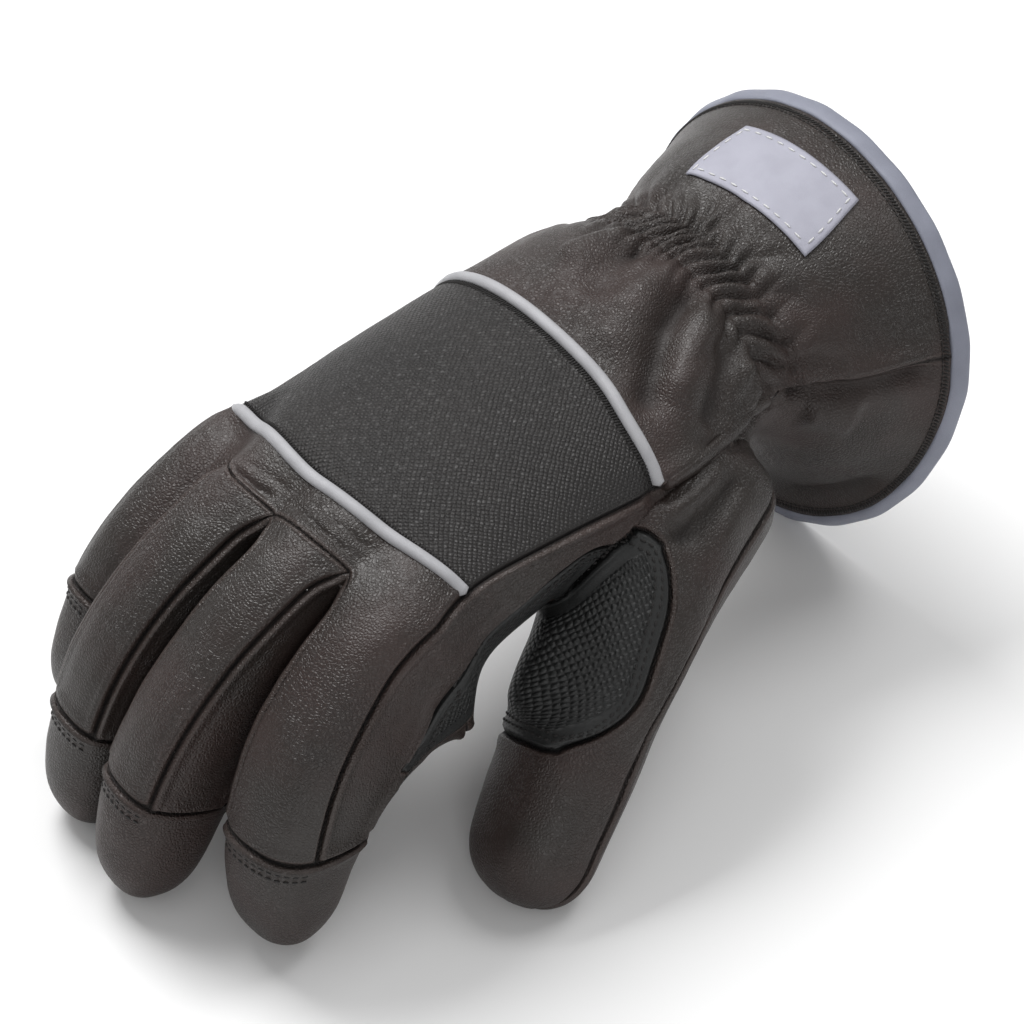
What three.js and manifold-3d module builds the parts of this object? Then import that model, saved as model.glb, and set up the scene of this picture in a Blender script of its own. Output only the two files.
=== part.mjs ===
import * as THREE from "three";
import { mergeVertices } from "three/addons/utils/BufferGeometryUtils.js";
import Module from "manifold-3d";

// A right-hand firefighter glove at rest, palm down, on its fingertips, thumb tip and cuff.
// Fingers point to -Y, the cuff opens to +Y, the thumb is on the +X side. Millimetres.

// Lengths of the zones of the hand, one behind the other, from the finger crotches to the cuff edge.
const KNUCKLE_LENGTH = 20;
const PATCH_LENGTH = 61;
const WRIST_LENGTH = 44;
const CUFF_LENGTH = 42;

// Widths and depths of the hand, the gathered wrist and the open cuff.
const HAND_WIDTH = 98;
const HAND_DEPTH = 33;
const WRIST_WIDTH = 68;
const WRIST_DEPTH = 50;
const CUFF_WIDTH = 112;
const CUFF_DEPTH = 110;

// Height of the middle of the knuckles above the surface.
const KNUCKLE_HEIGHT = 74;

// The longest finger and the thumb.
const FINGER_LENGTH = 90;
const FINGER_WIDTH = 26;
const FINGER_DEPTH = 27;
const THUMB_LENGTH = 122;
const THUMB_WIDTH = 35;
const THUMB_DEPTH = 31;

// Walls, edges and trims.
const LEATHER_WALL = 2;
const SEAM_GAP = 0.3;
const CAP_LENGTH = 31;
const PIPING_WIDTH = 3.4;
const BINDING_WIDTH = 4.2;
const BINDING_DEPTH = 3.4;
const PIPING_RISE = 1.1;
const BINDING_RISE = 0.7;
const LABEL_LENGTH = 41;
const LABEL_WIDTH = 21;
const LABEL_WALL = 0.8;

const COLOURS = {
  leather: [0x3b322f, 0.55],
  crotch: [0x1e2121, 0.8],
  textile: [0x33302e, 0.7],
  silver: [0xbcbcc0, 0.5],
  binding: [0xa0a3b4, 0.5],
};

// Slivers narrower than this are merged away after a cut.
const SLIVER = 0.003;
// Two walls that share more than this, in cubic millimetres, cross.
const CROSSING = 0.005;
// More than the whole stands high.
const HEIGHT_OVER_ALL = 200;

const RAD = Math.PI / 180;
const lerp = THREE.MathUtils.lerp;
const clamp = THREE.MathUtils.clamp;

// A table's rows as objects, from the names of its columns and its rows of values.
function table(columns, rows) {
  const names = columns.split(" ");
  return rows.map((row) => Object.fromEntries(names.map((name, i) => [name, row[i]])));
}

// Where each zone of the hand starts.
const ZONE = {
  knuckle: { start: 0, length: KNUCKLE_LENGTH },
  patch: { start: KNUCKLE_LENGTH, length: PATCH_LENGTH },
  wrist: { start: KNUCKLE_LENGTH + PATCH_LENGTH, length: WRIST_LENGTH },
  cuff: { start: KNUCKLE_LENGTH + PATCH_LENGTH + WRIST_LENGTH, length: CUFF_LENGTH },
};
const EDGE_AT = ZONE.cuff.start + ZONE.cuff.length;
const HAND = { width: HAND_WIDTH, depth: HAND_DEPTH };
const WRIST = { width: WRIST_WIDTH, depth: WRIST_DEPTH };
const CUFF = { width: CUFF_WIDTH, depth: CUFF_DEPTH };

// Sections of the hand. at: share of the zone. shift, thumb, pinky: shares of the section's width.
// back, palm: shares of its depth. mid: share of KNUCKLE_HEIGHT. tilt: degrees that the section's top
// leans to the cuff. square: how boxy it is. thenar: how much deeper the palm is on the thumb side.
const HAND_ROWS = table("zone at of shift thumb pinky back palm thenar mid tilt square seam", [
  ["knuckle", -0.6, HAND, 0, 0.5, 0.39, 0.44, 0.78, 0.42, 0.9, -30, 2.5, 32],
  ["knuckle", 0, HAND, 0, 0.51, 0.385, 0.45, 0.78, 0.42, 0.97, -22, 2.4, 30],
  ["patch", 0, HAND, 0, 0.51, 0.375, 0.49, 0.8, 0.3, 1.02, -10, 2.2, 24],
  ["patch", 0.5, HAND, 0, 0.5, 0.39, 0.57, 0.82, 0.12, 1.03, -3, 2.1, 16],
  ["wrist", 0, HAND, 0.01, 0.47, 0.415, 0.64, 0.8, 0, 1.02, 0, 2.2, 8],
  ["wrist", 0.55, WRIST, 0.02, 0.58, 0.58, 0.51, 0.54, 0, 1.01, 0, 2.2, 2],
  ["wrist", 0.95, WRIST, 0.02, 0.5, 0.5, 0.49, 0.54, 0, 1.0, 2, 2.1, 0],
  ["cuff", 0.12, WRIST, 0.01, 0.54, 0.51, 0.53, 0.6, 0, 0.98, 4, 2.1, 2],
  ["cuff", 0.4, CUFF, 0, 0.385, 0.37, 0.33, 0.36, 0, 0.9, 6, 2.1, 8],
  ["cuff", 0.7, CUFF, -0.015, 0.455, 0.415, 0.388, 0.45, 0, 0.85, 10, 2.0, 14],
  ["cuff", 1, CUFF, -0.03, 0.512, 0.465, 0.43, 0.57, 0, 0.795, 14, 1.96, 17],
]);

// Fingers from the thumb side. shift: share of HAND_WIDTH. set: how far behind the crotch line the base
// sits, share of KNUCKLE_LENGTH. rise: share of FINGER_DEPTH. length, width, depth: shares of the longest
// finger's. spread: degrees to the thumb side. bends: degrees at the knuckle, middle and end joints.
const FINGERS = table("name shift set rise length width depth web spread bends", [
  ["index", 0.4, 0.35, -0.08, 0.97, 1.05, 1.0, 0.95, 4, [30, 26, 26]],
  ["middle", 0.135, 0.25, 0.03, 1.07, 0.98, 1.0, 0.3, -8, [26, 20, 20]],
  ["ring", -0.138, 0.25, -0.06, 1.025, 0.96, 0.97, 0.2, -9, [26, 24, 18]],
  ["little", -0.352, 0.7, -0.34, 0.82, 0.8, 0.88, 0.1, -7, [22, 30, 10]],
]);
// Where along a finger its joints bend, and how long a bend is, as shares of its length.
const JOINTS = [0.1, 0.42, 0.72];
const BEND_LENGTH = 0.45;
// Width and depth along a finger, before the tip rounds off.
const FINGER_ROWS = table("at width back front square", [
  [-0.3, 0.92, 0.52, 0.7, 3.0],
  [0.0, 0.92, 0.52, 0.7, 3.0],
  [0.25, 0.95, 0.5, 0.64, 2.8],
  [0.5, 0.96, 0.49, 0.6, 2.6],
  [0.75, 0.94, 0.46, 0.54, 2.5],
  [1.0, 0.88, 0.42, 0.46, 2.3],
]);
// How far along a finger its front is thickened by the web, as a share of its length.
const WEB_REACH = 1;
const TIP_ROUND = 15;

// The thumb. Its base is in the wrist zone. turn: degrees its direction turns to +X of the fingers'.
// drop: degrees it points down. roll: degrees its flat turns.
const THUMB_BASE = { zone: "wrist", at: 0.68, shift: 0.28, mid: 0.83 };
const THUMB_ROWS = table("at turn drop roll width back front square", [
  [0.0, 24, 8, 30, 0.8, 0.85, 0.85, 2.2],
  [0.14, 24, 10, 30, 1.22, 1.24, 1.24, 2.2],
  [0.28, 24, 16, 30, 1.16, 1.5, 1.18, 2.2],
  [0.4, 24, 25, 30, 1.1, 1.42, 1.1, 2.2],
  [0.55, 21, 36, 30, 1.02, 1.06, 1.02, 2.2],
  [0.75, 16, 46, 30, 1.0, 0.96, 0.96, 2.3],
  [1.0, 12, 50, 30, 0.92, 0.86, 0.86, 2.2],
]);
// The crotch patch's edge on the thumb, from the hand to the thumb tip. at: share of THUMB_LENGTH.
// angle: degrees round the section.
const THUMB_PATCH_ROWS = table("at angle", [
  [0.33, 40],
  [0.37, 22],
  [0.42, 12],
  [0.5, 7],
  [0.575, 2],
  [0.645, 18],
  [0.71, 60],
]);
// The same on the hand and index finger, from the index finger to the wrist. along: millimetres behind
// the crotch line.
const HAND_PATCH_ROWS = table("along angle", [
  [-34, -28],
  [-16, -24],
  [0, -11],
  [28, -7],
  [52, 0],
  [71, -18],
]);

// How far the two pipings bow to the fingers. at: share of the way across from the thumb side.
const PIPING_ROWS = table("at front rear", [
  [0, 1, 5],
  [0.12, 4, 4.5],
  [0.25, 7, 2.5],
  [0.5, 9, 0.5],
  [0.75, 5.5, 0],
  [1, 1.5, 0],
]);

// Angles in a section, from the thumb side over the back, where the back leather ends.
const SEAM_ANGLE = 46;
const OUTER_SEAM_ANGLE = 30;
const PALM_ANGLE = 30;
const BLEND_LENGTH = 16;

// The label's middle, as shares of CUFF_WIDTH and CUFF_LENGTH, and how its short sides lean across.
const LABEL_AT = { across: 0.02, along: 0.52, lean: -0.22 };

// How many faces each strip has across, and each stretch has along.
const ACROSS = { back: 4, side: 2, indexSide: 4, palm: 3, thumb: 6, rim: 48 };
const ALONG = { blend: 3, patch: 5, rear: 4, cuff: 4, finger: 7, cap: 4, thumbEnds: 5 };

// Smooth curve through the rows of a table, for every number in them.
function sampler(rows, place) {
  const at = rows.map(place);
  const names = Object.keys(rows[0]).filter((name) => typeof rows[0][name] === "number");
  const slope = (name, i) => {
    if (i === 0 || i === rows.length - 1) {
      return 0;
    }
    const before = (rows[i][name] - rows[i - 1][name]) / (at[i] - at[i - 1]);
    const after = (rows[i + 1][name] - rows[i][name]) / (at[i + 1] - at[i]);
    return before * after <= 0 ? 0 : (2 * before * after) / (before + after);
  };
  return (wanted) => {
    const s = clamp(wanted, at[0], at[at.length - 1]);
    let i = 0;
    while (i < at.length - 2 && s > at[i + 1]) {
      i += 1;
    }
    const span = at[i + 1] - at[i];
    const t = (s - at[i]) / span;
    const row = {};
    for (const name of names) {
      const a = rows[i][name];
      const b = rows[i + 1][name];
      row[name] =
        a * (2 * t ** 3 - 3 * t ** 2 + 1) +
        b * (3 * t ** 2 - 2 * t ** 3) +
        slope(name, i) * span * (t ** 3 - 2 * t ** 2 + t) +
        slope(name, i + 1) * span * (t ** 3 - t ** 2);
    }
    return row;
  };
}

const smooth = (t) => THREE.MathUtils.smoothstep(t, 0, 1);

// The hand's sections in millimetres.
const handAt = sampler(
  HAND_ROWS.map((row) => ({
    y: ZONE[row.zone].start + row.at * ZONE[row.zone].length,
    shift: row.shift * row.of.width,
    thumb: row.thumb * row.of.width,
    pinky: row.pinky * row.of.width,
    back: row.back * row.of.depth,
    palm: row.palm * row.of.depth,
    thenar: row.thenar,
    mid: row.mid * KNUCKLE_HEIGHT,
    tilt: row.tilt,
    square: row.square,
    seam: row.seam,
  })),
  (row) => row.y,
);

// A point of a rounded section, sizes to the thumb side, pinky side, back and palm.
function roundedPoint(angle, section) {
  const c = Math.cos(angle * RAD);
  const s = Math.sin(angle * RAD);
  const power = 2 / section.square;
  const share = Math.sign(c) * Math.abs(c) ** power;
  return {
    across: share * (c > 0 ? section.thumb : section.pinky),
    up: Math.sign(s) * Math.abs(s) ** power * (s > 0 ? section.back : palmDepth(section, share)),
  };
}

// How deep the palm is at a share across it, 1 at the thumb side and -1 at the pinky side.
function palmDepth(section, share) {
  return section.palm * (1 + (section.thenar ?? 0) * smooth((share + 1) / 2));
}

// A frame is a place with its across and up directions.
function framePoint(frame, across, up) {
  return frame.place.clone().addScaledVector(frame.across, across).addScaledVector(frame.up, up);
}

function handFrame(y, across = 0, up = 0) {
  const row = handAt(y);
  const lean = row.tilt * RAD;
  const frame = {
    across: new THREE.Vector3(1, 0, 0),
    up: new THREE.Vector3(0, Math.sin(lean), Math.cos(lean)),
    place: new THREE.Vector3(row.shift, y, row.mid),
  };
  frame.place = framePoint(frame, across, up);
  return frame;
}

// A finger's frames, stepped along its bends from the base.
const STEP = 1;
function bentLine(start, length, direction) {
  const places = [start.clone()];
  const place = start.clone();
  for (let t = 0; t < length; t += STEP) {
    const { turn, drop } = direction((t + STEP / 2) / length);
    place.x += STEP * Math.sin(turn * RAD) * Math.cos(drop * RAD);
    place.y -= STEP * Math.cos(turn * RAD) * Math.cos(drop * RAD);
    place.z -= STEP * Math.sin(drop * RAD);
    places.push(place.clone());
  }
  return (t) => {
    const i = clamp(Math.floor(t / STEP), 0, places.length - 2);
    return places[i].clone().lerp(places[i + 1], t / STEP - i);
  };
}

function directedFrame(place, turn, drop, roll) {
  const ahead = new THREE.Vector3(
    Math.sin(turn * RAD) * Math.cos(drop * RAD),
    -Math.cos(turn * RAD) * Math.cos(drop * RAD),
    -Math.sin(drop * RAD),
  );
  const across = new THREE.Vector3(Math.cos(turn * RAD), Math.sin(turn * RAD), 0);
  across.applyAxisAngle(ahead, roll * RAD);
  return { place, across, up: ahead.clone().cross(across) };
}

const tipScale = (t, length) => {
  const over = clamp((t - (length - TIP_ROUND)) / TIP_ROUND, 0, 1);
  return (1 - over ** 2.3) ** (1 / 2.3);
};

const fingerRowAt = sampler(FINGER_ROWS, (row) => row.at);

const fingers = FINGERS.map((finger) => {
  const length = finger.length * FINGER_LENGTH;
  const baseY = finger.set * KNUCKLE_LENGTH;
  const across = finger.shift * HAND_WIDTH;
  const rise = finger.rise * FINGER_DEPTH;
  const base = handFrame(baseY, across, rise);
  const bentBy = (share) =>
    JOINTS.reduce(
      (sum, joint, i) => sum + finger.bends[i] * smooth((share - joint) / BEND_LENGTH + 0.5),
      0,
    );
  const direction = (share) => ({
    turn: finger.spread * smooth(share / 0.3),
    drop: -handAt(baseY).tilt + bentBy(share) - bentBy(0),
  });
  const line = bentLine(base.place, length, direction);
  const frame = (t) => {
    if (t <= 0) {
      return handFrame(baseY - t, across, rise);
    }
    const { turn, drop } = direction(t / length);
    return directedFrame(line(t), turn, drop, 0);
  };
  const section = (t) => {
    const row = fingerRowAt(t / length);
    const scale = tipScale(t, length);
    const half = (finger.width * FINGER_WIDTH * row.width * scale) / 2;
    const deep = finger.depth * FINGER_DEPTH * scale;
    const front = row.front + finger.web * (1 - smooth(t / length / WEB_REACH));
    return { thumb: half, pinky: half, back: deep * row.back, palm: deep * front, square: row.square };
  };
  const point = (t, angle) => {
    const { across: x, up } = roundedPoint(angle, section(t));
    return framePoint(frame(t), x, up);
  };
  return { ...finger, length, baseY, point, capAt: length - CAP_LENGTH };
});

// Across the hand, lane 0 to 4 runs from the thumb side to the pinky side, a finger in each.
const LANES = FINGERS.length;
const laneEdge = (i) => {
  if (i === 0 || i === LANES) {
    return null;
  }
  return ((FINGERS[i - 1].shift + FINGERS[i].shift) / 2) * HAND_WIDTH;
};

// The y of the crotch line at a place across the hand.
function baseLine(lane) {
  const places = [];
  fingers.forEach((finger, i) => {
    places.push({ at: i + 0.5, y: finger.baseY });
  });
  return sampler(places, (row) => row.at)(lane).y;
}

// Angle of a column in a finger's or the hand's section, for a strip and a share across it.
const STRIPS = {
  back: [SEAM_ANGLE, 180 - SEAM_ANGLE],
  pinky: [180 - SEAM_ANGLE, 180 + PALM_ANGLE],
  palm: [180 + PALM_ANGLE, 360 - PALM_ANGLE],
  thumb: [-PALM_ANGLE, SEAM_ANGLE],
};
// The outer fingers' backs reach further round than the seams between fingers do.
function stripAngle(strip, share, lane) {
  let [from, to] = STRIPS[strip];
  if (lane === 0) {
    from = strip === "back" ? OUTER_SEAM_ANGLE : from;
    to = strip === "thumb" ? OUTER_SEAM_ANGLE : to;
  }
  if (lane === LANES - 1) {
    from = strip === "pinky" ? 180 - OUTER_SEAM_ANGLE : from;
    to = strip === "back" ? 180 - OUTER_SEAM_ANGLE : to;
  }
  return lerp(from, to, share);
}

// The thumb side of the hand and index finger. Its lower half is the crotch patch's.
const handPatchAt = sampler(HAND_PATCH_ROWS, (row) => row.along);
function sideAngle(along, share, top) {
  const { angle } = handPatchAt(along);
  return share < 0.5 ? lerp(-PALM_ANGLE, angle, share * 2) : lerp(angle, top, share * 2 - 1);
}

// A point on the hand's own surface at y. On the back and palm the lane says where across.
function handPoint(y, strip, lane, share) {
  const row = handAt(y);
  if (strip === "thumb" || strip === "pinky") {
    const angle =
      strip === "thumb"
        ? sideAngle(y, share, row.seam)
        : lerp(180 - row.seam, 180 + PALM_ANGLE, share);
    const { across, up } = roundedPoint(angle, row);
    return framePoint(handFrame(y), across, up);
  }
  const sign = strip === "back" ? 1 : -1;
  const angle = strip === "back" ? row.seam : -PALM_ANGLE;
  const thumbEdge = roundedPoint(angle, row).across;
  const pinkyEdge = roundedPoint(180 - angle, row).across;
  const first = thumbEdgeAtBase;
  const last = pinkyEdgeAtBase;
  const edge = (i) => {
    const x = i === 0 ? first : i === LANES ? last : laneEdge(i);
    return lerp(thumbEdge, pinkyEdge, (x - first) / (last - first));
  };
  // The share across a lane spreads as it does across a finger's back.
  const spread = (1 - Math.cos(share * Math.PI)) / 2;
  const fromThumb = strip === "back" ? lerp(share, spread, 0.5) : 1 - lerp(share, spread, 0.5);
  const x = lerp(edge(lane), edge(lane + 1), fromThumb);
  const wide = x > 0 ? row.thumb : row.pinky;
  const up = (1 - Math.min(1, Math.abs(x / wide)) ** row.square) ** (1 / row.square);
  return framePoint(handFrame(y), x, sign * up * (sign > 0 ? row.back : palmDepth(row, x / wide)));
}
const thumbEdgeAtBase = roundedPoint(handAt(0).seam, handAt(0)).across;
const pinkyEdgeAtBase = roundedPoint(180 - handAt(0).seam, handAt(0)).across;

// The skin from the crotch line to the cuff: behind the crotches each lane leaves the finger's round
// shape for the hand's.
function skinPoint(y, strip, lane, share) {
  const onHand = handPoint(y, strip, lane, share);
  const finger = fingers[lane];
  const line = baseLine(lane + laneShare(strip, share));
  const weight = 1 - smooth((y - line) / BLEND_LENGTH);
  if (weight <= 0) {
    return onHand;
  }
  const angle =
    lane === 0 && strip === "thumb"
      ? sideAngle(y, share, OUTER_SEAM_ANGLE)
      : stripAngle(strip, share, lane);
  const onFinger = finger.point(finger.baseY - y, angle);
  return onHand.lerp(onFinger, weight);
}
// Share of the way across the lane, from the thumb side.
function laneShare(strip, share) {
  return { back: share, palm: 1 - share, thumb: 0, pinky: 1 }[strip];
}

// The skin is one closed net of faces, each marked with its piece. Pieces are cut from it as walls.
class Skin {
  constructor() {
    this.places = [];
    this.keys = new Map();
    this.faces = [];
  }
  vertex(place) {
    const down = new THREE.Vector3(place.x, place.y, Math.max(place.z, 0));
    const key = down.toArray().map((value) => Math.round(value * 200)).join(" ");
    if (!this.keys.has(key)) {
      this.keys.set(key, this.places.length);
      this.places.push(down);
    }
    return this.keys.get(key);
  }
  // A grid of faces. Its columns turn round the section and its rows run to the fingertips, or to the
  // cuff where toCuff is set.
  grid(columns, rows, place, piece, toCuff) {
    const at = [];
    for (let i = 0; i <= columns; i += 1) {
      at.push([]);
      for (let j = 0; j <= rows; j += 1) {
        at[i].push(this.vertex(place(i / columns, j)));
      }
    }
    for (let i = 0; i < columns; i += 1) {
      for (let j = 0; j < rows; j += 1) {
        const loop = [at[i][j], at[i + 1][j], at[i + 1][j + 1], at[i][j + 1]];
        if (toCuff) {
          loop.reverse();
        }
        const face = loop.filter((vertex, k) => vertex !== loop[(k + 1) % 4]);
        if (face.length > 2) {
          this.faces.push({ face, piece: piece(j, i / columns) });
        }
      }
    }
  }
  normals() {
    const sums = this.places.map(() => new THREE.Vector3());
    for (const { face } of this.faces) {
      const area = faceArea(face.map((vertex) => this.places[vertex]));
      face.forEach((vertex) => sums[vertex].add(area));
    }
    return sums.map((sum) => sum.normalize());
  }
}

function faceArea(corners) {
  const area = new THREE.Vector3();
  for (let k = 1; k < corners.length - 1; k += 1) {
    const a = corners[k].clone().sub(corners[0]);
    const b = corners[k + 1].clone().sub(corners[0]);
    area.add(a.cross(b));
  }
  return area;
}

function geometryOf(places, triangles) {
  const numbers = places.flatMap((place) => place.toArray());
  const geometry = new THREE.BufferGeometry();
  geometry.setAttribute("position", new THREE.Float32BufferAttribute(numbers, 3));
  geometry.setIndex(triangles);
  return geometry;
}

const fan = (face) => {
  const triangles = [];
  for (let k = 1; k < face.length - 1; k += 1) {
    triangles.push(face[0], face[k], face[k + 1]);
  }
  return triangles;
};

// A wall from chosen faces of a skin: its outer side at lift over the skin, and at lift and crown off its
// edges, its inner side under it by the wall, its free edges drawn in by inset.
function wallOf(skin, chosen, { wall = LEATHER_WALL, lift = 0, crown = 0, inset = SEAM_GAP / 2 } = {}) {
  const normals = skin.allNormals ?? (skin.allNormals = skin.normals());
  const edges = new Map();
  for (const { face } of chosen) {
    face.forEach((from, k) => {
      const to = face[(k + 1) % face.length];
      edges.set(from + " " + to, { from, to, face });
    });
  }
  const free = [...edges.values()].filter(({ from, to }) => !edges.has(to + " " + from));
  const pull = new Map();
  for (const { from, to } of free) {
    const along = skin.places[to].clone().sub(skin.places[from]);
    for (const vertex of [from, to]) {
      const inward = normals[vertex].clone().cross(along).normalize();
      pull.set(vertex, (pull.get(vertex) ?? new THREE.Vector3()).add(inward));
    }
  }
  const used = [...new Set(chosen.flatMap(({ face }) => face))];
  const index = new Map(used.map((vertex, i) => [vertex, i]));
  const raised = (vertex) => (pull.has(vertex) ? lift : lift + crown);
  const outer = used.map((vertex) => {
    const place = skin.places[vertex].clone().addScaledVector(normals[vertex], raised(vertex));
    if (pull.has(vertex)) {
      place.addScaledVector(pull.get(vertex).clone().normalize(), inset);
    }
    return place.setZ(Math.max(place.z, 0));
  });
  const inner = used.map((vertex, i) => {
    return outer[i].clone().addScaledVector(normals[vertex], lift - raised(vertex) - wall);
  });
  const triangles = [];
  const under = used.length;
  for (const { face } of chosen) {
    for (const [a, b, c] of threes(fan(face))) {
      const [p, q, r] = [index.get(a), index.get(b), index.get(c)];
      triangles.push(p, q, r, under + p, under + r, under + q);
    }
  }
  for (const { from, to } of free) {
    const [p, q] = [index.get(from), index.get(to)];
    triangles.push(p, under + q, q, p, under + p, under + q);
  }
  return geometryOf([...outer, ...inner], triangles);
}

function threes(list) {
  const out = [];
  for (let i = 0; i < list.length; i += 3) {
    out.push(list.slice(i, i + 3));
  }
  return out;
}

// The hand and fingers.
const skin = new Skin();
const linesTo = (from, to, count) =>
  Array.from({ length: count }, (_, k) => lerp(from, to, (k + 1) / count));
const FRONT_PIPING = [KNUCKLE_LENGTH - PIPING_WIDTH / 2, KNUCKLE_LENGTH + PIPING_WIDTH / 2];
const REAR_PIPING = FRONT_PIPING.map((y) => y + PATCH_LENGTH);
const WRIST_LINE = ZONE.cuff.start;
const PANEL_END = EDGE_AT - BINDING_WIDTH - SEAM_GAP;
const SIDE_PANEL_END = (REAR_PIPING[1] + WRIST_LINE) / 2;
// Rows behind the knuckles, each the y where it ends and the back piece before that line.
const handRows = [
  ...linesTo(0, 1, ALONG.blend).map((share) => ({ blend: share, back: "knuckle_panel" })),
  { y: KNUCKLE_LENGTH, back: "front_piping" },
  { y: FRONT_PIPING[1], back: "front_piping" },
  ...linesTo(FRONT_PIPING[1], REAR_PIPING[0], ALONG.patch).map((y) => ({ y, back: "backhand_patch" })),
  { y: KNUCKLE_LENGTH + PATCH_LENGTH, back: "rear_piping" },
  { y: REAR_PIPING[1], back: "rear_piping" },
  ...linesTo(REAR_PIPING[1], WRIST_LINE, ALONG.rear).map((y) => ({ y, back: "rear_back_panel" })),
  ...linesTo(WRIST_LINE, PANEL_END, ALONG.cuff).map((y) => ({ y, back: "rear_back_panel", cuff: true })),
];
const pipingAt = sampler(PIPING_ROWS, (row) => row.at);
// The y on the hand of a row's y, moved with the bow of the pipings.
function bowed(y, across) {
  const { front, rear } = pipingAt(across / LANES);
  if (y < REAR_PIPING[0]) {
    return y - lerp(front, rear, clamp((y - FRONT_PIPING[1]) / (REAR_PIPING[0] - FRONT_PIPING[1]), 0, 1));
  }
  return y - rear * clamp((WRIST_LINE - y) / (WRIST_LINE - REAR_PIPING[1]), 0, 1);
}
const rowY = (j, across) => {
  const line = baseLine(across);
  if (j === 0) {
    return line;
  }
  const row = handRows[j - 1];
  return row.blend ? lerp(line, bowed(FRONT_PIPING[0], across), row.blend) : bowed(row.y, across);
};

// A skin place behind the crotches. On the line between two lanes it is midway between the two.
function handPlace(strip, lane, share, j) {
  const across = lane + laneShare(strip, share);
  const y = rowY(j, across);
  const own = skinPoint(y, strip, lane, share);
  const onLine = (strip === "back" || strip === "palm") && (share === 0 || share === 1);
  const next = Math.round(across) === lane ? lane - 1 : lane + 1;
  if (!onLine || next < 0 || next >= LANES) {
    return own;
  }
  return own.lerp(skinPoint(y, strip, next, 1 - share), 0.5);
}

// A skin place along a finger, at row j of the stretch before the cap, or of the cap.
function fingerPlace(strip, lane, share, j) {
  const finger = fingers[lane];
  const across = lane + laneShare(strip, share);
  const start = finger.baseY - baseLine(across);
  const angleAt = (t) =>
    lane === 0 && strip === "thumb"
      ? sideAngle(finger.baseY - t, share, OUTER_SEAM_ANGLE)
      : stripAngle(strip, share, lane);
  if (j === 0) {
    const angle = angleAt(start);
    const inner = across === Math.round(across) && across > 0 && across < LANES;
    const own = finger.point(start, angle);
    if (!inner) {
      return own;
    }
    const next = across === lane ? lane - 1 : lane + 1;
    const mirrored = 180 - angle;
    const other = fingers[next].point(fingers[next].baseY - baseLine(across), mirrored);
    return own.lerp(other, 0.5);
  }
  if (j <= ALONG.finger) {
    const t = lerp(start, finger.capAt, j / ALONG.finger);
    return finger.point(t, angleAt(t));
  }
  const t = lerp(finger.capAt, finger.length, Math.sin((((j - ALONG.finger) / ALONG.cap) * Math.PI) / 2));
  return finger.point(t, angleAt(t));
}

// The crotch patch takes the lower half of the thumb side between these two lines.
const PATCH_FROM = HAND_PATCH_ROWS[0].along;
const PATCH_TO = HAND_PATCH_ROWS[HAND_PATCH_ROWS.length - 1].along;
const fingerRowsUnderPatch = (finger) => (-PATCH_FROM / finger.capAt) * ALONG.finger;

const betweenFingers = (lane) => "fourchette_" + fingers[lane].name + "_" + fingers[lane - 1].name;

fingers.forEach((finger, lane) => {
  const columns = {
    back: ACROSS.back,
    palm: ACROSS.palm,
    thumb: lane === 0 ? ACROSS.indexSide : ACROSS.side,
    pinky: ACROSS.side,
  };
  for (const strip of ["back", "palm"]) {
    skin.grid(
      columns[strip],
      handRows.length,
      (share, j) => handPlace(strip, lane, share, j),
      (j) => (strip === "back" ? handRows[j].back : "palm_panel"),
      true,
    );
  }
  const pieceOf = {
    back: lane === 0 || lane === LANES - 1 ? "knuckle_panel" : finger.name + "_back",
    palm: finger.name + "_front",
    thumb: lane === 0 ? "index_side_panel" : betweenFingers(lane),
    pinky: lane === LANES - 1 ? finger.name + "_front" : betweenFingers(lane + 1),
  };
  for (const strip of Object.keys(pieceOf)) {
    skin.grid(
      columns[strip],
      ALONG.finger + ALONG.cap,
      (share, j) => fingerPlace(strip, lane, share, j),
      (j, share) => {
        if (j >= ALONG.finger) {
          return finger.name + "_cap";
        }
        const patched = pieceOf[strip] === "index_side_panel" && share < 0.5;
        return patched && j + 1 < fingerRowsUnderPatch(finger) ? "crotch_patch_hand" : pieceOf[strip];
      },
      false,
    );
  }
});
skin.grid(
  ACROSS.indexSide,
  handRows.length,
  (share, j) => handPlace("thumb", 0, share, j),
  (j, share) => {
    const y = rowY(j + 1, 0);
    if (y > SIDE_PANEL_END + SEAM_GAP) {
      return "palm_panel";
    }
    return share < 0.5 && y < PATCH_TO ? "crotch_patch_hand" : "index_side_panel";
  },
  true,
);
skin.grid(
  ACROSS.side,
  handRows.length,
  (share, j) => handPlace("pinky", LANES - 1, share, j),
  () => "palm_panel",
  true,
);

// The thumb, a skin of its own, rounded at both ends, that starts inside the wrist.
const thumbRowAt = sampler(THUMB_ROWS, (row) => row.at);
const thumbStart = handFrame(
  ZONE[THUMB_BASE.zone].start + THUMB_BASE.at * ZONE[THUMB_BASE.zone].length,
  THUMB_BASE.shift * HAND_WIDTH,
).place.setZ(THUMB_BASE.mid * KNUCKLE_HEIGHT);
const thumbLine = bentLine(thumbStart, THUMB_LENGTH, (share) => thumbRowAt(share));
function thumbPoint(t, angle) {
  const row = thumbRowAt(t / THUMB_LENGTH);
  const scale = (tipScale(t, THUMB_LENGTH) * tipScale(THUMB_LENGTH - t, THUMB_LENGTH)) / 2;
  const half = row.width * THUMB_WIDTH * scale;
  const deep = THUMB_DEPTH * scale;
  const section = {
    thumb: half,
    pinky: half,
    back: deep * row.back,
    palm: deep * row.front,
    square: row.square,
  };
  const { across, up } = roundedPoint(angle, section);
  return framePoint(directedFrame(thumbLine(t), row.turn, row.drop, row.roll), across, up);
}
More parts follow.
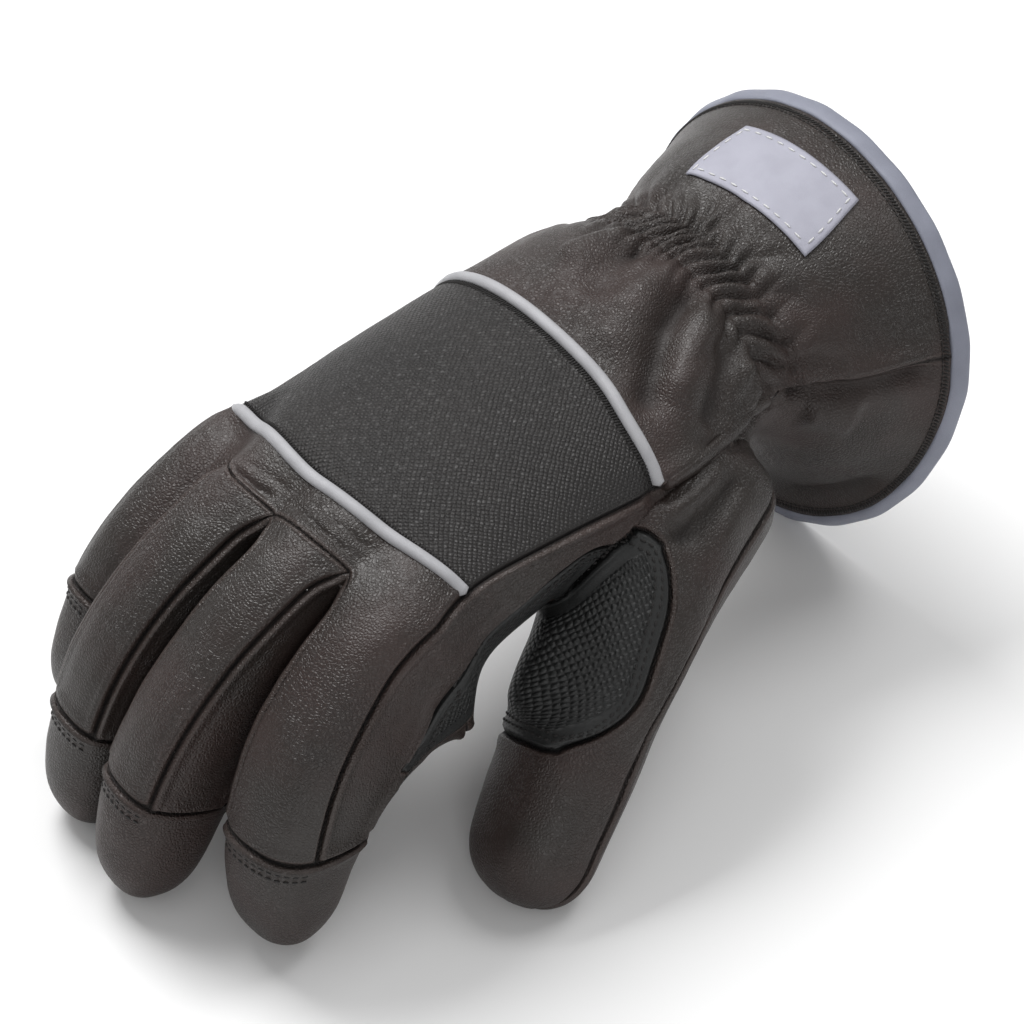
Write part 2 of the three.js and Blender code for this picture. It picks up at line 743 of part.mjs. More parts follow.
// Its two seams, in degrees round the section, and the rows of its net.
const THUMB_SEAMS = [-20, 160, 340];
const thumbPatchAt = sampler(THUMB_PATCH_ROWS, (row) => row.at);
const THUMB_PATCH_FROM = THUMB_PATCH_ROWS[0].at;
const THUMB_PATCH_TO = THUMB_PATCH_ROWS[THUMB_PATCH_ROWS.length - 1].at;
const thumbLines = [
  0,
  ...linesTo(0, THUMB_PATCH_FROM, ALONG.thumbEnds),
  ...THUMB_PATCH_ROWS.slice(1).map((row) => row.at),
  ...linesTo(0, Math.PI / 2, ALONG.thumbEnds).map((turn) => lerp(THUMB_PATCH_TO, 1, Math.sin(turn))),
];
const thumbSkin = new Skin();
const thumbPlace = (from, to) => (share, j) => {
  const t = thumbLines[j];
  const angleOf = (seam) => (seam === "patch" ? thumbPatchAt(t).angle : seam);
  return thumbPoint(t * THUMB_LENGTH, lerp(angleOf(from), angleOf(to), share));
};
const onPatch = (j) => thumbLines[j] >= THUMB_PATCH_FROM && thumbLines[j] < THUMB_PATCH_TO;
const thumbNet = [
  { columns: 1, from: THUMB_SEAMS[0], to: "patch", rear: "thumb_outer", patch: "thumb_outer" },
  {
    columns: ACROSS.thumb,
    from: "patch",
    to: THUMB_SEAMS[1],
    rear: "thumb_outer",
    patch: "crotch_patch_thumb",
  },
  {
    columns: ACROSS.thumb,
    from: THUMB_SEAMS[1],
    to: THUMB_SEAMS[2],
    rear: "thumb_inner",
    patch: "thumb_inner",
  },
];
for (const { columns, from, to, rear, patch } of thumbNet) {
  const piece = (j) => (onPatch(j) ? patch : rear);
  thumbSkin.grid(columns, thumbLines.length - 1, thumbPlace(from, to), piece, false);
}

// The binding round the cuff's edge.
const rim = new Skin();
const RIM_LINES = [PANEL_END + SEAM_GAP, EDGE_AT - BINDING_WIDTH / 2, EDGE_AT];
rim.grid(
  ACROSS.rim,
  RIM_LINES.length - 1,
  (share, j) => {
    const { across, up } = roundedPoint(360 * share, handAt(RIM_LINES[j]));
    return framePoint(handFrame(RIM_LINES[j]), across, up);
  },
  () => "cuff_binding",
  true,
);

const wasm = await Module();
wasm.setup();

function solidOf(geometry) {
  const bare = geometry.clone();
  bare.deleteAttribute("normal");
  bare.deleteAttribute("uv");
  const merged = mergeVertices(bare, 1e-4);
  return new wasm.Manifold(
    new wasm.Mesh({
      numProp: 3,
      vertProperties: merged.attributes.position.array,
      triVerts: new Uint32Array(merged.index.array),
    }),
  );
}

function geometryFrom(solid) {
  const mesh = solid.getMesh();
  const geometry = new THREE.BufferGeometry();
  geometry.setAttribute("position", new THREE.Float32BufferAttribute(mesh.vertProperties, 3));
  geometry.setIndex([...mesh.triVerts]);
  return geometry;
}

// The largest of the bodies that a cut leaves.
function mainBody(solid) {
  const bodies = solid.decompose().map((body) => body.simplify(SLIVER));
  return bodies.reduce((main, body) => (body.volume() > main.volume() ? body : main));
}

// A closed solid of a whole skin grown outward, its open end capped.
function closedSkin(skin, grow) {
  const normals = skin.normals();
  const places = skin.places.map((place, i) => place.clone().addScaledVector(normals[i], grow));
  const edges = new Map();
  const triangles = [];
  for (const { face } of skin.faces) {
    triangles.push(...fan(face));
    face.forEach((from, k) => {
      const to = face[(k + 1) % face.length];
      edges.set(from + " " + to, [from, to]);
    });
  }
  const free = [...edges.values()].filter(([from, to]) => !edges.has(to + " " + from));
  if (free.length > 0) {
    const middle = new THREE.Vector3();
    free.forEach(([from]) => middle.add(places[from]));
    middle.divideScalar(free.length);
    free.forEach(([from, to]) => triangles.push(to, from, places.length));
    places.push(middle);
  }
  return solidOf(geometryOf(places, triangles));
}

const pieces = new Map();
const trims = {
  front_piping: { crown: PIPING_RISE },
  rear_piping: { crown: PIPING_RISE },
  cuff_binding: { wall: BINDING_DEPTH, lift: BINDING_RISE, inset: 0 },
};
const walls = [];
for (const part of [skin, thumbSkin, rim]) {
  for (const name of new Set(part.faces.map(({ piece }) => piece))) {
    const faces = part.faces.filter(({ piece }) => piece === name);
    const trim = { wall: LEATHER_WALL, lift: 0, inset: SEAM_GAP / 2, ...trims[name] };
    const clear = {
      ...trim,
      lift: trim.lift + SEAM_GAP,
      wall: trim.wall + 2 * SEAM_GAP,
      inset: -SEAM_GAP / 4,
    };
    const solid = solidOf(wallOf(part, faces, trim));
    walls.push({ name, part, solid, grown: solidOf(wallOf(part, faces, clear)) });
  }
}
// Where walls cross at a crotch, the later one is cut clear of the earlier one.
walls.forEach((wall, i) => {
  const earlier = walls.slice(0, wall.part === thumbSkin ? 0 : i);
  for (const other of earlier.filter(({ part }) => part !== thumbSkin)) {
    for (const cutter of [other.grown, other.solid]) {
      if (wall.solid.intersect(other.solid).volume() > CROSSING) {
        wall.solid = mainBody(wall.solid.subtract(cutter));
      }
    }
  }
  pieces.set(wall.name, wall.solid);
});

// The thumb is cut off where it enters the hand, and the hand is cut open for it.
const handSolid = closedSkin(skin, SEAM_GAP);
const thumbHollow = closedSkin(thumbSkin, -LEATHER_WALL);
for (const name of ["thumb_outer", "thumb_inner", "crotch_patch_thumb"]) {
  pieces.set(name, mainBody(pieces.get(name).subtract(handSolid)));
}
for (const name of ["index_side_panel", "palm_panel", "crotch_patch_hand"]) {
  pieces.set(name, mainBody(pieces.get(name).subtract(thumbHollow)));
}

// The label lies on the back of the cuff.
const labelX = LABEL_AT.across * CUFF_WIDTH;
const labelY = ZONE.cuff.start + LABEL_AT.along * CUFF_LENGTH;
const labelOutline = [[-1, -1], [1, -1], [1, 1], [-1, 1]].map(([x, y]) => [
  labelX + (x * LABEL_LENGTH) / 2 + (LABEL_AT.lean * y * LABEL_WIDTH) / 2,
  labelY + (y * LABEL_WIDTH) / 2,
]);
const overBack = wallOf(
  skin,
  skin.faces.filter(({ piece }) => piece === "rear_back_panel"),
  { lift: SEAM_GAP + LABEL_WALL, wall: LABEL_WALL },
);
const labelPrism = wasm.Manifold.extrude([labelOutline], HEIGHT_OVER_ALL).translate([0, 0, KNUCKLE_HEIGHT]);
pieces.set("label_patch", solidOf(overBack).intersect(labelPrism));

const LOOKS = {
  backhand_patch: "textile",
  crotch_patch_hand: "crotch",
  crotch_patch_thumb: "crotch",
  front_piping: "silver",
  rear_piping: "silver",
  label_patch: "silver",
  cuff_binding: "binding",
};
const glove = new THREE.Group();
for (const [name, solid] of pieces) {
  const [color, roughness] = COLOURS[LOOKS[name] ?? "leather"];
  const finish = new THREE.MeshStandardMaterial({ color, roughness, metalness: 0 });
  const mesh = new THREE.Mesh(geometryFrom(solid), finish);
  mesh.name = name;
  glove.add(mesh);
}
// The origin is at the middle of the bottom of the whole.
const box = new THREE.Box3().setFromObject(glove);
const middle = box.getCenter(new THREE.Vector3());
glove.position.set(-middle.x, -middle.y, -box.min.z);
export default glove;
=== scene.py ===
"""A right-hand leather firefighter glove, laid palm down on a pale floor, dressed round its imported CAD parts."""

import math
from types import SimpleNamespace

import bmesh
import bpy
import numpy as np
from mathutils import Matrix, Vector, noise
from mathutils.bvhtree import BVHTree
from mathutils.kdtree import KDTree


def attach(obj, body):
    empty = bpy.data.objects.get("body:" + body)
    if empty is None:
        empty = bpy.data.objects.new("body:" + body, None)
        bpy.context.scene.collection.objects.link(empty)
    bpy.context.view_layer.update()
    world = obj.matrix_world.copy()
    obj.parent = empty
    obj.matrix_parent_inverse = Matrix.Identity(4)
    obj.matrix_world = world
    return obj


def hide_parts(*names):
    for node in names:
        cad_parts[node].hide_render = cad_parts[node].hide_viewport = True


bl_info = {
    "name": "Firefighter glove",
    "version": (1, 0, 0),
    "blender": (4, 5, 0),
    "location": "View3D > Sidebar > Glove",
    "description": "Sews a leather firefighter glove round its CAD parts",
    "category": "Object",
}

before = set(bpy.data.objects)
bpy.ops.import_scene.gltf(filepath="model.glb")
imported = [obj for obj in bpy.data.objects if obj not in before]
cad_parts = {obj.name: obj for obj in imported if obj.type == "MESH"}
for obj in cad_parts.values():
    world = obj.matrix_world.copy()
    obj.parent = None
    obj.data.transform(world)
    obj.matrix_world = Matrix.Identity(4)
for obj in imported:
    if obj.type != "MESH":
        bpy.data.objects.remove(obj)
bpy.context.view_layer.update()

MM = 0.001
RAD = math.pi / 180

# Sizes of the glove in millimetres, as its solids have them.
KNUCKLE_LENGTH = 20
PATCH_LENGTH = 61
WRIST_LENGTH = 44
CUFF_LENGTH = 42
HAND_WIDTH, HAND_DEPTH = 98, 33
WRIST_WIDTH, WRIST_DEPTH = 68, 50
CUFF_WIDTH, CUFF_DEPTH = 112, 110
KNUCKLE_HEIGHT = 74
FINGER_LENGTH, FINGER_WIDTH, FINGER_DEPTH = 90, 26, 27
THUMB_LENGTH, THUMB_WIDTH, THUMB_DEPTH = 125, 35, 31
CAP_LENGTH = 31
PIPING_WIDTH = 3.4
BINDING_WIDTH = 4.2
SEAM_GAP = 0.3
LABEL_LENGTH, LABEL_WIDTH = 41, 21
TIP_ROUND = 15
BLEND_LENGTH = 16
BEND_LENGTH = 0.45
JOINTS = (0.1, 0.42, 0.72)
# From the first corner of the glove's own measures to the middle of its bottom.
ORIGIN = np.array([-11.506, -60.569, 0.0])

PATCH_START = KNUCKLE_LENGTH
WRIST_START = PATCH_START + PATCH_LENGTH
CUFF_START = WRIST_START + WRIST_LENGTH
EDGE_AT = CUFF_START + CUFF_LENGTH

HAND = (HAND_WIDTH, HAND_DEPTH)
WRIST = (WRIST_WIDTH, WRIST_DEPTH)
CUFF = (CUFF_WIDTH, CUFF_DEPTH)
# zone start, zone length, share, section, then shares and degrees as the columns say.
HAND_COLUMNS = "y shift thumb pinky back palm thenar mid tilt square seam"
HAND_ROWS = [
    (0, KNUCKLE_LENGTH, -0.6, HAND, 0, 0.5, 0.39, 0.44, 0.78, 0.62, 0.9, -30, 2.5, 32),
    (0, KNUCKLE_LENGTH, 0, HAND, 0, 0.51, 0.385, 0.45, 0.78, 0.68, 0.97, -22, 2.4, 30),
    (PATCH_START, PATCH_LENGTH, 0, HAND, 0, 0.51, 0.375, 0.49, 0.8, 0.52, 1.02, -10, 2.2, 24),
    (PATCH_START, PATCH_LENGTH, 0.5, HAND, 0, 0.5, 0.39, 0.57, 0.82, 0.12, 1.03, -3, 2.1, 16),
    (WRIST_START, WRIST_LENGTH, 0, HAND, 0.01, 0.47, 0.415, 0.64, 0.8, 0, 1.02, 0, 2.2, 8),
    (WRIST_START, WRIST_LENGTH, 0.55, WRIST, 0.02, 0.58, 0.58, 0.51, 0.54, 0, 1.01, 0, 2.2, 2),
    (WRIST_START, WRIST_LENGTH, 0.95, WRIST, 0.02, 0.5, 0.5, 0.49, 0.54, 0, 1.0, 2, 2.1, 0),
    (CUFF_START, CUFF_LENGTH, 0.12, WRIST, 0.01, 0.54, 0.51, 0.53, 0.6, 0, 0.98, 4, 2.1, 2),
    (CUFF_START, CUFF_LENGTH, 0.4, CUFF, 0, 0.385, 0.37, 0.33, 0.36, 0, 0.9, 6, 2.1, 8),
    (CUFF_START, CUFF_LENGTH, 0.7, CUFF, -0.015, 0.455, 0.415, 0.388, 0.45, 0, 0.85, 10, 2.0, 14),
    (CUFF_START, CUFF_LENGTH, 1, CUFF, -0.03, 0.512, 0.465, 0.43, 0.57, 0, 0.795, 14, 1.96, 17),
]
# name, shift, set, rise, length, width, depth, web, spread, bends.
FINGER_TABLE = [
    ("index", 0.4, 0.35, -0.08, 0.97, 1.05, 1.0, 0.84, 4, (30, 26, 26)),
    ("middle", 0.135, 0.25, 0.03, 1.07, 0.98, 1.0, 0.3, -8, (26, 20, 20)),
    ("ring", -0.138, 0.25, -0.06, 1.025, 0.96, 0.97, 0.2, -9, (26, 24, 18)),
    ("little", -0.352, 0.7, -0.34, 0.82, 0.8, 0.88, 0.1, -7, (22, 30, 10)),
]
FINGER_ROWS = [
    (-0.3, 0.92, 0.52, 0.7, 3.0),
    (0.0, 0.92, 0.52, 0.7, 3.0),
    (0.25, 0.95, 0.5, 0.64, 2.8),
    (0.5, 0.96, 0.49, 0.6, 2.6),
    (0.75, 0.94, 0.46, 0.54, 2.5),
    (1.0, 0.88, 0.42, 0.46, 2.3),
]
THUMB_SHIFT, THUMB_AT, THUMB_MID = 0.28, 0.68, 0.83
THUMB_ROWS = [
    (0.0, 24, 8, 30, 0.8, 0.85, 0.85, 2.2),
    (0.14, 24, 10, 30, 1.22, 1.24, 1.24, 2.2),
    (0.28, 24, 16, 30, 1.16, 1.5, 1.18, 2.2),
    (0.4, 24, 25, 30, 1.1, 1.42, 1.1, 2.2),
    (0.55, 21, 36, 30, 1.02, 1.06, 1.02, 2.2),
    (0.75, 19, 46, 30, 1.0, 0.96, 0.96, 2.3),
    (1.0, 19, 50, 30, 0.92, 0.86, 0.86, 2.2),
]
THUMB_PATCH_ROWS = [(0.33, 40), (0.37, 22), (0.42, 12), (0.5, 7), (0.575, 2), (0.645, 18), (0.71, 60)]
HAND_PATCH_ROWS = [(-34, -28), (-16, -24), (0, -11), (28, -7), (52, 0), (71, -18)]
PIPING_ROWS = [(0, 1, 5), (0.12, 3, 4.5), (0.25, 5, 2.5), (0.5, 6.5, 0.5), (0.75, 3.5, 0), (1, 0.5, 0)]
SEAM_ANGLE, OUTER_SEAM_ANGLE, PALM_ANGLE = 46, 30, 30
# The outer seam of the index finger ends at this angle, this far along the finger.
TIP_SEAM_ANGLE, SEAM_TURN_LENGTH = 8.0, 65
LANES = len(FINGER_TABLE)

# How finely the grids are laid: columns round each strip, rows along each stretch.
BACK_COLUMNS, PALM_COLUMNS, SIDE_COLUMNS = 40, 24, 28
FINGER_FINE_ROWS = 8
THUMB_FINE_ROWS = [20, 20, 14, 14, 14, 14, 14, 14]
THUMB_BEFORE_COLUMNS, THUMB_OUTER_COLUMNS, THUMB_INNER_COLUMNS = 8, 50, 56
GRID_WELD, SKIN_WELD, PIECE_WELD = 0.05, 0.02, 0.02

# The camera that the photograph's perspective gives, in the glove's own measures, and the soft lamps.
CAMERA_TARGET = (35.035, 41.508, 84.234)
CAMERA_AZIMUTH, CAMERA_ELEVATION = 50, 43
CAMERA_DISTANCE, CAMERA_LENS = 1.24, 191.8
# name, place, size, power.
LAMPS = (
    ("key", (-0.75, 0.05, 1.15), 0.7, 17),
    ("top", (0.1, 0.7, 1.2), 0.6, 5),
    ("side", (0.9, -0.7, 0.6), 0.5, 3),
)
SKY_STRENGTH = 0.38


def smooth(t):
    t = np.clip(t, 0, 1)
    return t * t * (3 - 2 * t)


def lerp(a, b, t):
    return a + (b - a) * t


def hump(away, width):
    """A soft rise that is 1 where nothing is away and dies out past the width."""
    return np.exp(-((away / width) ** 2))


def vec(x, y, z):
    return np.stack(np.broadcast_arrays(x, y, z), -1).astype(float)


def unit(v):
    return v / np.maximum(np.linalg.norm(v, axis=-1, keepdims=True), 1e-12)


class Rows:
    """A smooth curve through the rows of a table, for every column in it."""

    def __init__(self, names, rows):
        self.names = names.split()
        values = np.array(rows, float)
        self.at, self.values = values[:, 0], values[:, 1:]
        step = np.diff(self.at)[:, None]
        rise = np.diff(self.values, axis=0) / step
        before, after = rise[:-1], rise[1:]
        same = before * after > 0
        self.slope = np.zeros_like(self.values)
        self.slope[1:-1] = np.where(same, 2 * before * after / np.where(same, before + after, 1), 0)

    def __call__(self, wanted):
        s = np.clip(np.asarray(wanted, float), self.at[0], self.at[-1])
        i = np.searchsorted(self.at[1:-1], s, side="left")
        span = (self.at[i + 1] - self.at[i])[..., None]
        t = ((s - self.at[i]) / span[..., 0])[..., None]
        row = (
            self.values[i] * (2 * t**3 - 3 * t**2 + 1)
            + self.values[i + 1] * (3 * t**2 - 2 * t**3)
            + self.slope[i] * span * (t**3 - 2 * t**2 + t)
            + self.slope[i + 1] * span * (t**3 - t**2)
        )
        return SimpleNamespace(**{name: row[..., k] for k, name in enumerate(self.names[1:])})


def hand_row(row):
    start, length, at, (wide, deep), shift, thumb, pinky, back, palm, thenar, mid, tilt, square, seam = row
    return (
        start + at * length,
        shift * wide,
        thumb * wide,
        pinky * wide,
        back * deep,
        palm * deep,
        thenar,
        mid * KNUCKLE_HEIGHT,
        tilt,
        square,
        seam,
    )


hand_at = Rows(HAND_COLUMNS, [hand_row(row) for row in HAND_ROWS])
finger_row_at = Rows("at width back front square", FINGER_ROWS)
thumb_row_at = Rows("at turn drop roll width back front square", THUMB_ROWS)
thumb_patch_at = Rows("at angle", THUMB_PATCH_ROWS)
hand_patch_at = Rows("along angle", HAND_PATCH_ROWS)
piping_at = Rows("at front rear", PIPING_ROWS)


def palm_depth(row, share):
    return row.palm * (1 + row.thenar * smooth((share + 1) / 2))


def rounded(angle, row):
    """How far across and up a rounded section's edge is at an angle round it."""
    c, s = np.cos(angle * RAD), np.sin(angle * RAD)
    power = 2 / row.square
    share = np.sign(c) * np.abs(c) ** power
    across = share * np.where(c > 0, row.thumb, row.pinky)
    up = np.sign(s) * np.abs(s) ** power * np.where(s > 0, row.back, palm_depth(row, share))
    return across, up


def hand_frame(y, across=0.0, up=0.0):
    row = hand_at(y)
    lean = row.tilt * RAD
    zero = np.zeros_like(lean)
    side = vec(zero + 1, zero, zero)
    top = vec(zero, np.sin(lean), np.cos(lean))
    place = vec(row.shift, y, row.mid)
    return place + side * np.asarray(across)[..., None] + top * np.asarray(up)[..., None], side, top


def framed(axes, across, up):
    place, side, top = axes
    return place + side * across[..., None] + top * up[..., None]


def heading(turn, drop):
    turn, drop = turn * RAD, drop * RAD
    return vec(np.sin(turn) * np.cos(drop), -np.cos(turn) * np.cos(drop), -np.sin(drop))


def directed(place, turn, drop, roll):
    ahead = heading(turn, drop)
    side = vec(np.cos(turn * RAD), np.sin(turn * RAD), 0 * turn)
    roll = (roll * RAD)[..., None]
    side = side * np.cos(roll) + np.cross(ahead, side) * np.sin(roll)
    return place, side, np.cross(ahead, side)


def tip_scale(t, length):
    over = np.clip((t - (length - TIP_ROUND)) / TIP_ROUND, 0, 1)
    return np.maximum(1 - over**2.3, 0) ** (1 / 2.3)


class Line:
    """A line stepped along its own turn and drop."""

    def __init__(self, start, length, direction):
        middles = np.arange(0, length) + 0.5
        turn, drop = direction(middles / length)
        self.places = np.vstack([start, start + np.cumsum(heading(turn, drop), axis=0)])
        self.stations = np.arange(len(self.places), dtype=float)

    def __call__(self, t):
        return np.stack([np.interp(t, self.stations, self.places[:, k]) for k in range(3)], -1)


class Finger:
    def __init__(self, row):
        self.name, shift, back, rise, length, self.width, self.depth, self.web, self.spread, self.bends = row
        self.length = length * FINGER_LENGTH
        self.base_y = back * KNUCKLE_LENGTH
        self.across = shift * HAND_WIDTH
        self.rise = rise * FINGER_DEPTH
        self.cap_at = self.length - CAP_LENGTH
        self.tilt = float(hand_at(self.base_y).tilt)
        start = hand_frame(self.base_y, self.across, self.rise)[0]
        self.line = Line(start, self.length, self.direction)

    def direction(self, share):
        def bent(at):
            return sum(b * smooth((at - j) / BEND_LENGTH + 0.5) for b, j in zip(self.bends, JOINTS))

        return self.spread * smooth(share / 0.3), -self.tilt + bent(share) - bent(0)

    def axes(self, t):
        t = np.asarray(t, float)
        behind = hand_frame(self.base_y - t, self.across + 0 * t, self.rise + 0 * t)
        turn, drop = self.direction(t / self.length)
        ahead = directed(self.line(t), turn, drop, 0 * t)
        return tuple(np.where((t <= 0)[..., None], a, b) for a, b in zip(behind, ahead))

    def point(self, t, angle):
        t = np.asarray(t, float)
        row = finger_row_at(t / self.length)
        scale = tip_scale(t, self.length)
        half = self.width * FINGER_WIDTH * row.width * scale / 2
        deep = self.depth * FINGER_DEPTH * scale
        front = row.front + self.web * (1 - smooth(t / self.length))
        section = SimpleNamespace(
            thumb=half, pinky=half, back=deep * row.back, palm=deep * front, thenar=0.0, square=row.square
        )
        return framed(self.axes(t), *rounded(angle, section))


fingers = [Finger(row) for row in FINGER_TABLE]
base_line = Rows("at y", [(i + 0.5, f.base_y) for i, f in enumerate(fingers)])
FIRST_EDGE = float(rounded(hand_at(0).seam, hand_at(0))[0])
LAST_EDGE = float(rounded(180 - hand_at(0).seam, hand_at(0))[0])


def outer_seam(t):
    """The angle of the index finger's outer seam, which runs down its side towards the tip."""
    return lerp(OUTER_SEAM_ANGLE, TIP_SEAM_ANGLE, smooth(t / SEAM_TURN_LENGTH))


def strip_angle(strip, share, lane, t=0.0):
    first = outer_seam(t) if lane == 0 else SEAM_ANGLE
    last = OUTER_SEAM_ANGLE if lane == LANES - 1 else SEAM_ANGLE
    start, end = {
        "back": (first, 180 - last),
        "pinky": (180 - last, 180 + PALM_ANGLE),
        "palm": (180 + PALM_ANGLE, 360 - PALM_ANGLE),
        "thumb": (-PALM_ANGLE, first),
    }[strip]
    return lerp(start, end, share)


def side_angle(along, share, top):
    angle = hand_patch_at(along).angle
    return np.where(share < 0.5, lerp(-PALM_ANGLE, angle, share * 2), lerp(angle, top, share * 2 - 1))


def lane_share(strip, share):
    return {"back": share, "palm": 1 - share, "thumb": 0 * share, "pinky": 0 * share + 1}[strip]


def lane_edge(i):
    if i == 0:
        return FIRST_EDGE
    if i == LANES:
        return LAST_EDGE
    return (fingers[i - 1].across + fingers[i].across) / 2


def hand_point(y, strip, lane, share):
    row = hand_at(y)
    if strip == "thumb":
        return framed(hand_frame(y), *rounded(side_angle(y, share, row.seam), row))
    if strip == "pinky":
        return framed(hand_frame(y), *rounded(lerp(180 - row.seam, 180 + PALM_ANGLE, share), row))
    sign = 1 if strip == "back" else -1
    angle = row.seam if strip == "back" else -PALM_ANGLE
    thumb_edge, pinky_edge = rounded(angle, row)[0], rounded(180 - angle, row)[0]

    def edge(i):
        return lerp(thumb_edge, pinky_edge, (lane_edge(i) - FIRST_EDGE) / (LAST_EDGE - FIRST_EDGE))

    spread = lerp(share, (1 - np.cos(share * np.pi)) / 2, 0.5)
    x = lerp(edge(lane), edge(lane + 1), spread if strip == "back" else 1 - spread)
    wide = np.where(x > 0, row.thumb, row.pinky)
    up = (1 - np.minimum(1, np.abs(x / wide)) ** row.square) ** (1 / row.square)
    deep = row.back if sign > 0 else palm_depth(row, x / wide)
    return framed(hand_frame(y), x, sign * up * deep)


def skin_point(y, strip, lane, share):
    """The skin behind the crotches, where each lane leaves the finger's round shape for the hand's."""
    finger = fingers[lane]
    weight = 1 - smooth((y - base_line(lane + lane_share(strip, share)).y) / BLEND_LENGTH)
    if lane == 0 and strip == "thumb":
        angle = side_angle(y, share, OUTER_SEAM_ANGLE)
    else:
        angle = strip_angle(strip, share, lane)
    on_finger = finger.point(finger.base_y - y, angle)
    return lerp(hand_point(y, strip, lane, share), on_finger, weight[..., None])


FRONT_PIPING = (KNUCKLE_LENGTH - PIPING_WIDTH / 2, KNUCKLE_LENGTH + PIPING_WIDTH / 2)
REAR_PIPING = (FRONT_PIPING[0] + PATCH_LENGTH, FRONT_PIPING[1] + PATCH_LENGTH)
PANEL_END = EDGE_AT - BINDING_WIDTH - SEAM_GAP
SIDE_PANEL_END = (REAR_PIPING[1] + CUFF_START) / 2
PATCH_TO = HAND_PATCH_ROWS[-1][0]
FINGER_STEPS, CAP_STEPS = 7, 4


def even(start, end, count):
    return [lerp(start, end, (k + 1) / count) for k in range(count)]


# Stretches of the hand from the crotch line: the y where each ends, its back piece and its fine rows.
STRETCHES = (
    [(None, share, "knuckle_panel", 7) for share in even(0, 1, 3)]
    + [(KNUCKLE_LENGTH, 0, "knuckle_panel", 2), (FRONT_PIPING[1], 0, "backhand_patch", 2)]
    + [(y, 0, "backhand_patch", 12) for y in even(FRONT_PIPING[1], REAR_PIPING[0], 5)]
    + [(KNUCKLE_LENGTH + PATCH_LENGTH, 0, "backhand_patch", 2), (REAR_PIPING[1], 0, "rear_back_panel", 2)]
    + [(y, 0, "rear_back_panel", 14) for y in even(REAR_PIPING[1], CUFF_START, 4)]
    + [(y, 0, "rear_back_panel", 12) for y in even(CUFF_START, PANEL_END, 4)]
)


def bowed(y, across):
    row = piping_at(across / LANES)
    if y < REAR_PIPING[0]:
        share = min(max((y - FRONT_PIPING[1]) / (REAR_PIPING[0] - FRONT_PIPING[1]), 0), 1)
        return y - lerp(row.front, row.rear, share)
    return y - row.rear * min(max((CUFF_START - y) / (CUFF_START - REAR_PIPING[1]), 0), 1)


def row_y(j, across):
    line = base_line(across).y
    if j == 0:
        return line
    y, share, _, _ = STRETCHES[j - 1]
    return lerp(line, bowed(FRONT_PIPING[0], across), share) if y is None else bowed(y, across)


def fine_y(row, across):
    """The y of rows that may lie between two of the stretches' ends."""
    ends = np.stack([row_y(j, across) for j in range(len(STRETCHES) + 1)])
    low = np.minimum(np.floor(row + 1e-9).astype(int), len(STRETCHES) - 1)
    pick = np.arange(len(across))
    return lerp(ends[low, pick], ends[low + 1, pick], row - low)


# How much of a lane, and how many millimetres of a finger, bend to meet the neighbour.
EDGE_REACH, CROTCH_REACH = 0.3, 9


def hand_place(strip, lane, share, row):
    y = fine_y(row, lane + lane_share(strip, share))
    place = skin_point(y, strip, lane, share)
    if strip in ("back", "palm"):
        for side, own in ((0.0, lane), (1.0, lane + 1)):
            step = (own if strip == "back" else 2 * lane + 1 - own) - lane
            line = lane + step
            if line in (0, LANES):
                continue
            other = lane - 1 if step == 0 else lane + 1
            edge = np.full_like(share, side)
            edge_y = fine_y(row, lane + lane_share(strip, edge))
            gap = skin_point(edge_y, strip, other, 1 - edge) - skin_point(edge_y, strip, lane, edge)
            near = 1 - smooth(np.abs(share - side) / EDGE_REACH)
            place = place + gap / 2 * near[..., None]
    return place


def side_is_inner(strip, lane):
    return (strip == "pinky" and lane < LANES - 1) or (strip == "thumb" and lane > 0)


def finger_place(strip, lane, share, row):
    """A place along a finger: rows 0 to FINGER_STEPS before the cap, and CAP_STEPS more over it."""
    finger = fingers[lane]
    start = finger.base_y - base_line(lane + lane_share(strip, share)).y
    before = lerp(start, finger.cap_at, row / FINGER_STEPS)
    turn = np.clip((row - FINGER_STEPS) / CAP_STEPS, 0, 1) * np.pi / 2
    t = np.where(row <= FINGER_STEPS, before, lerp(finger.cap_at, finger.length, np.sin(turn)))
    outer = lane == 0 and strip == "thumb"

    def angle_at(t, share):
        if outer:
            return side_angle(finger.base_y - t, share, outer_seam(t))
        return strip_angle(strip, share, lane, t)

    place = finger.point(t, angle_at(t, share))
    sides = [(share, None)] if side_is_inner(strip, lane) else []
    if strip in ("back", "palm"):
        sides = [(np.full_like(share, side), side) for side in (0.0, 1.0)]
    for at, side in sides:
        line = lane + lane_share(strip, at)
        if strip in ("back", "palm") and round(float(line[0])) in (0, LANES):
            continue
        other = fingers[lane - 1 if round(float(line[0])) == lane else lane + 1]
        begin = finger.base_y - base_line(line).y
        angle = strip_angle(strip, at, lane)
        gap = other.point(other.base_y - base_line(line).y, 180 - angle) - finger.point(begin, angle)
        near = 1 - smooth((t - start) / CROTCH_REACH)
        if side is not None:
            near = near * (1 - smooth(np.abs(share - side) / EDGE_REACH))
        place = place + gap / 2 * near[..., None]
    return place


thumb_start = hand_frame(WRIST_START + THUMB_AT * WRIST_LENGTH, THUMB_SHIFT * HAND_WIDTH)[0]
thumb_start[2] = THUMB_MID * KNUCKLE_HEIGHT


def thumb_direction(share):
    row = thumb_row_at(share)
    return row.turn, row.drop


thumb_line = Line(thumb_start, THUMB_LENGTH, thumb_direction)


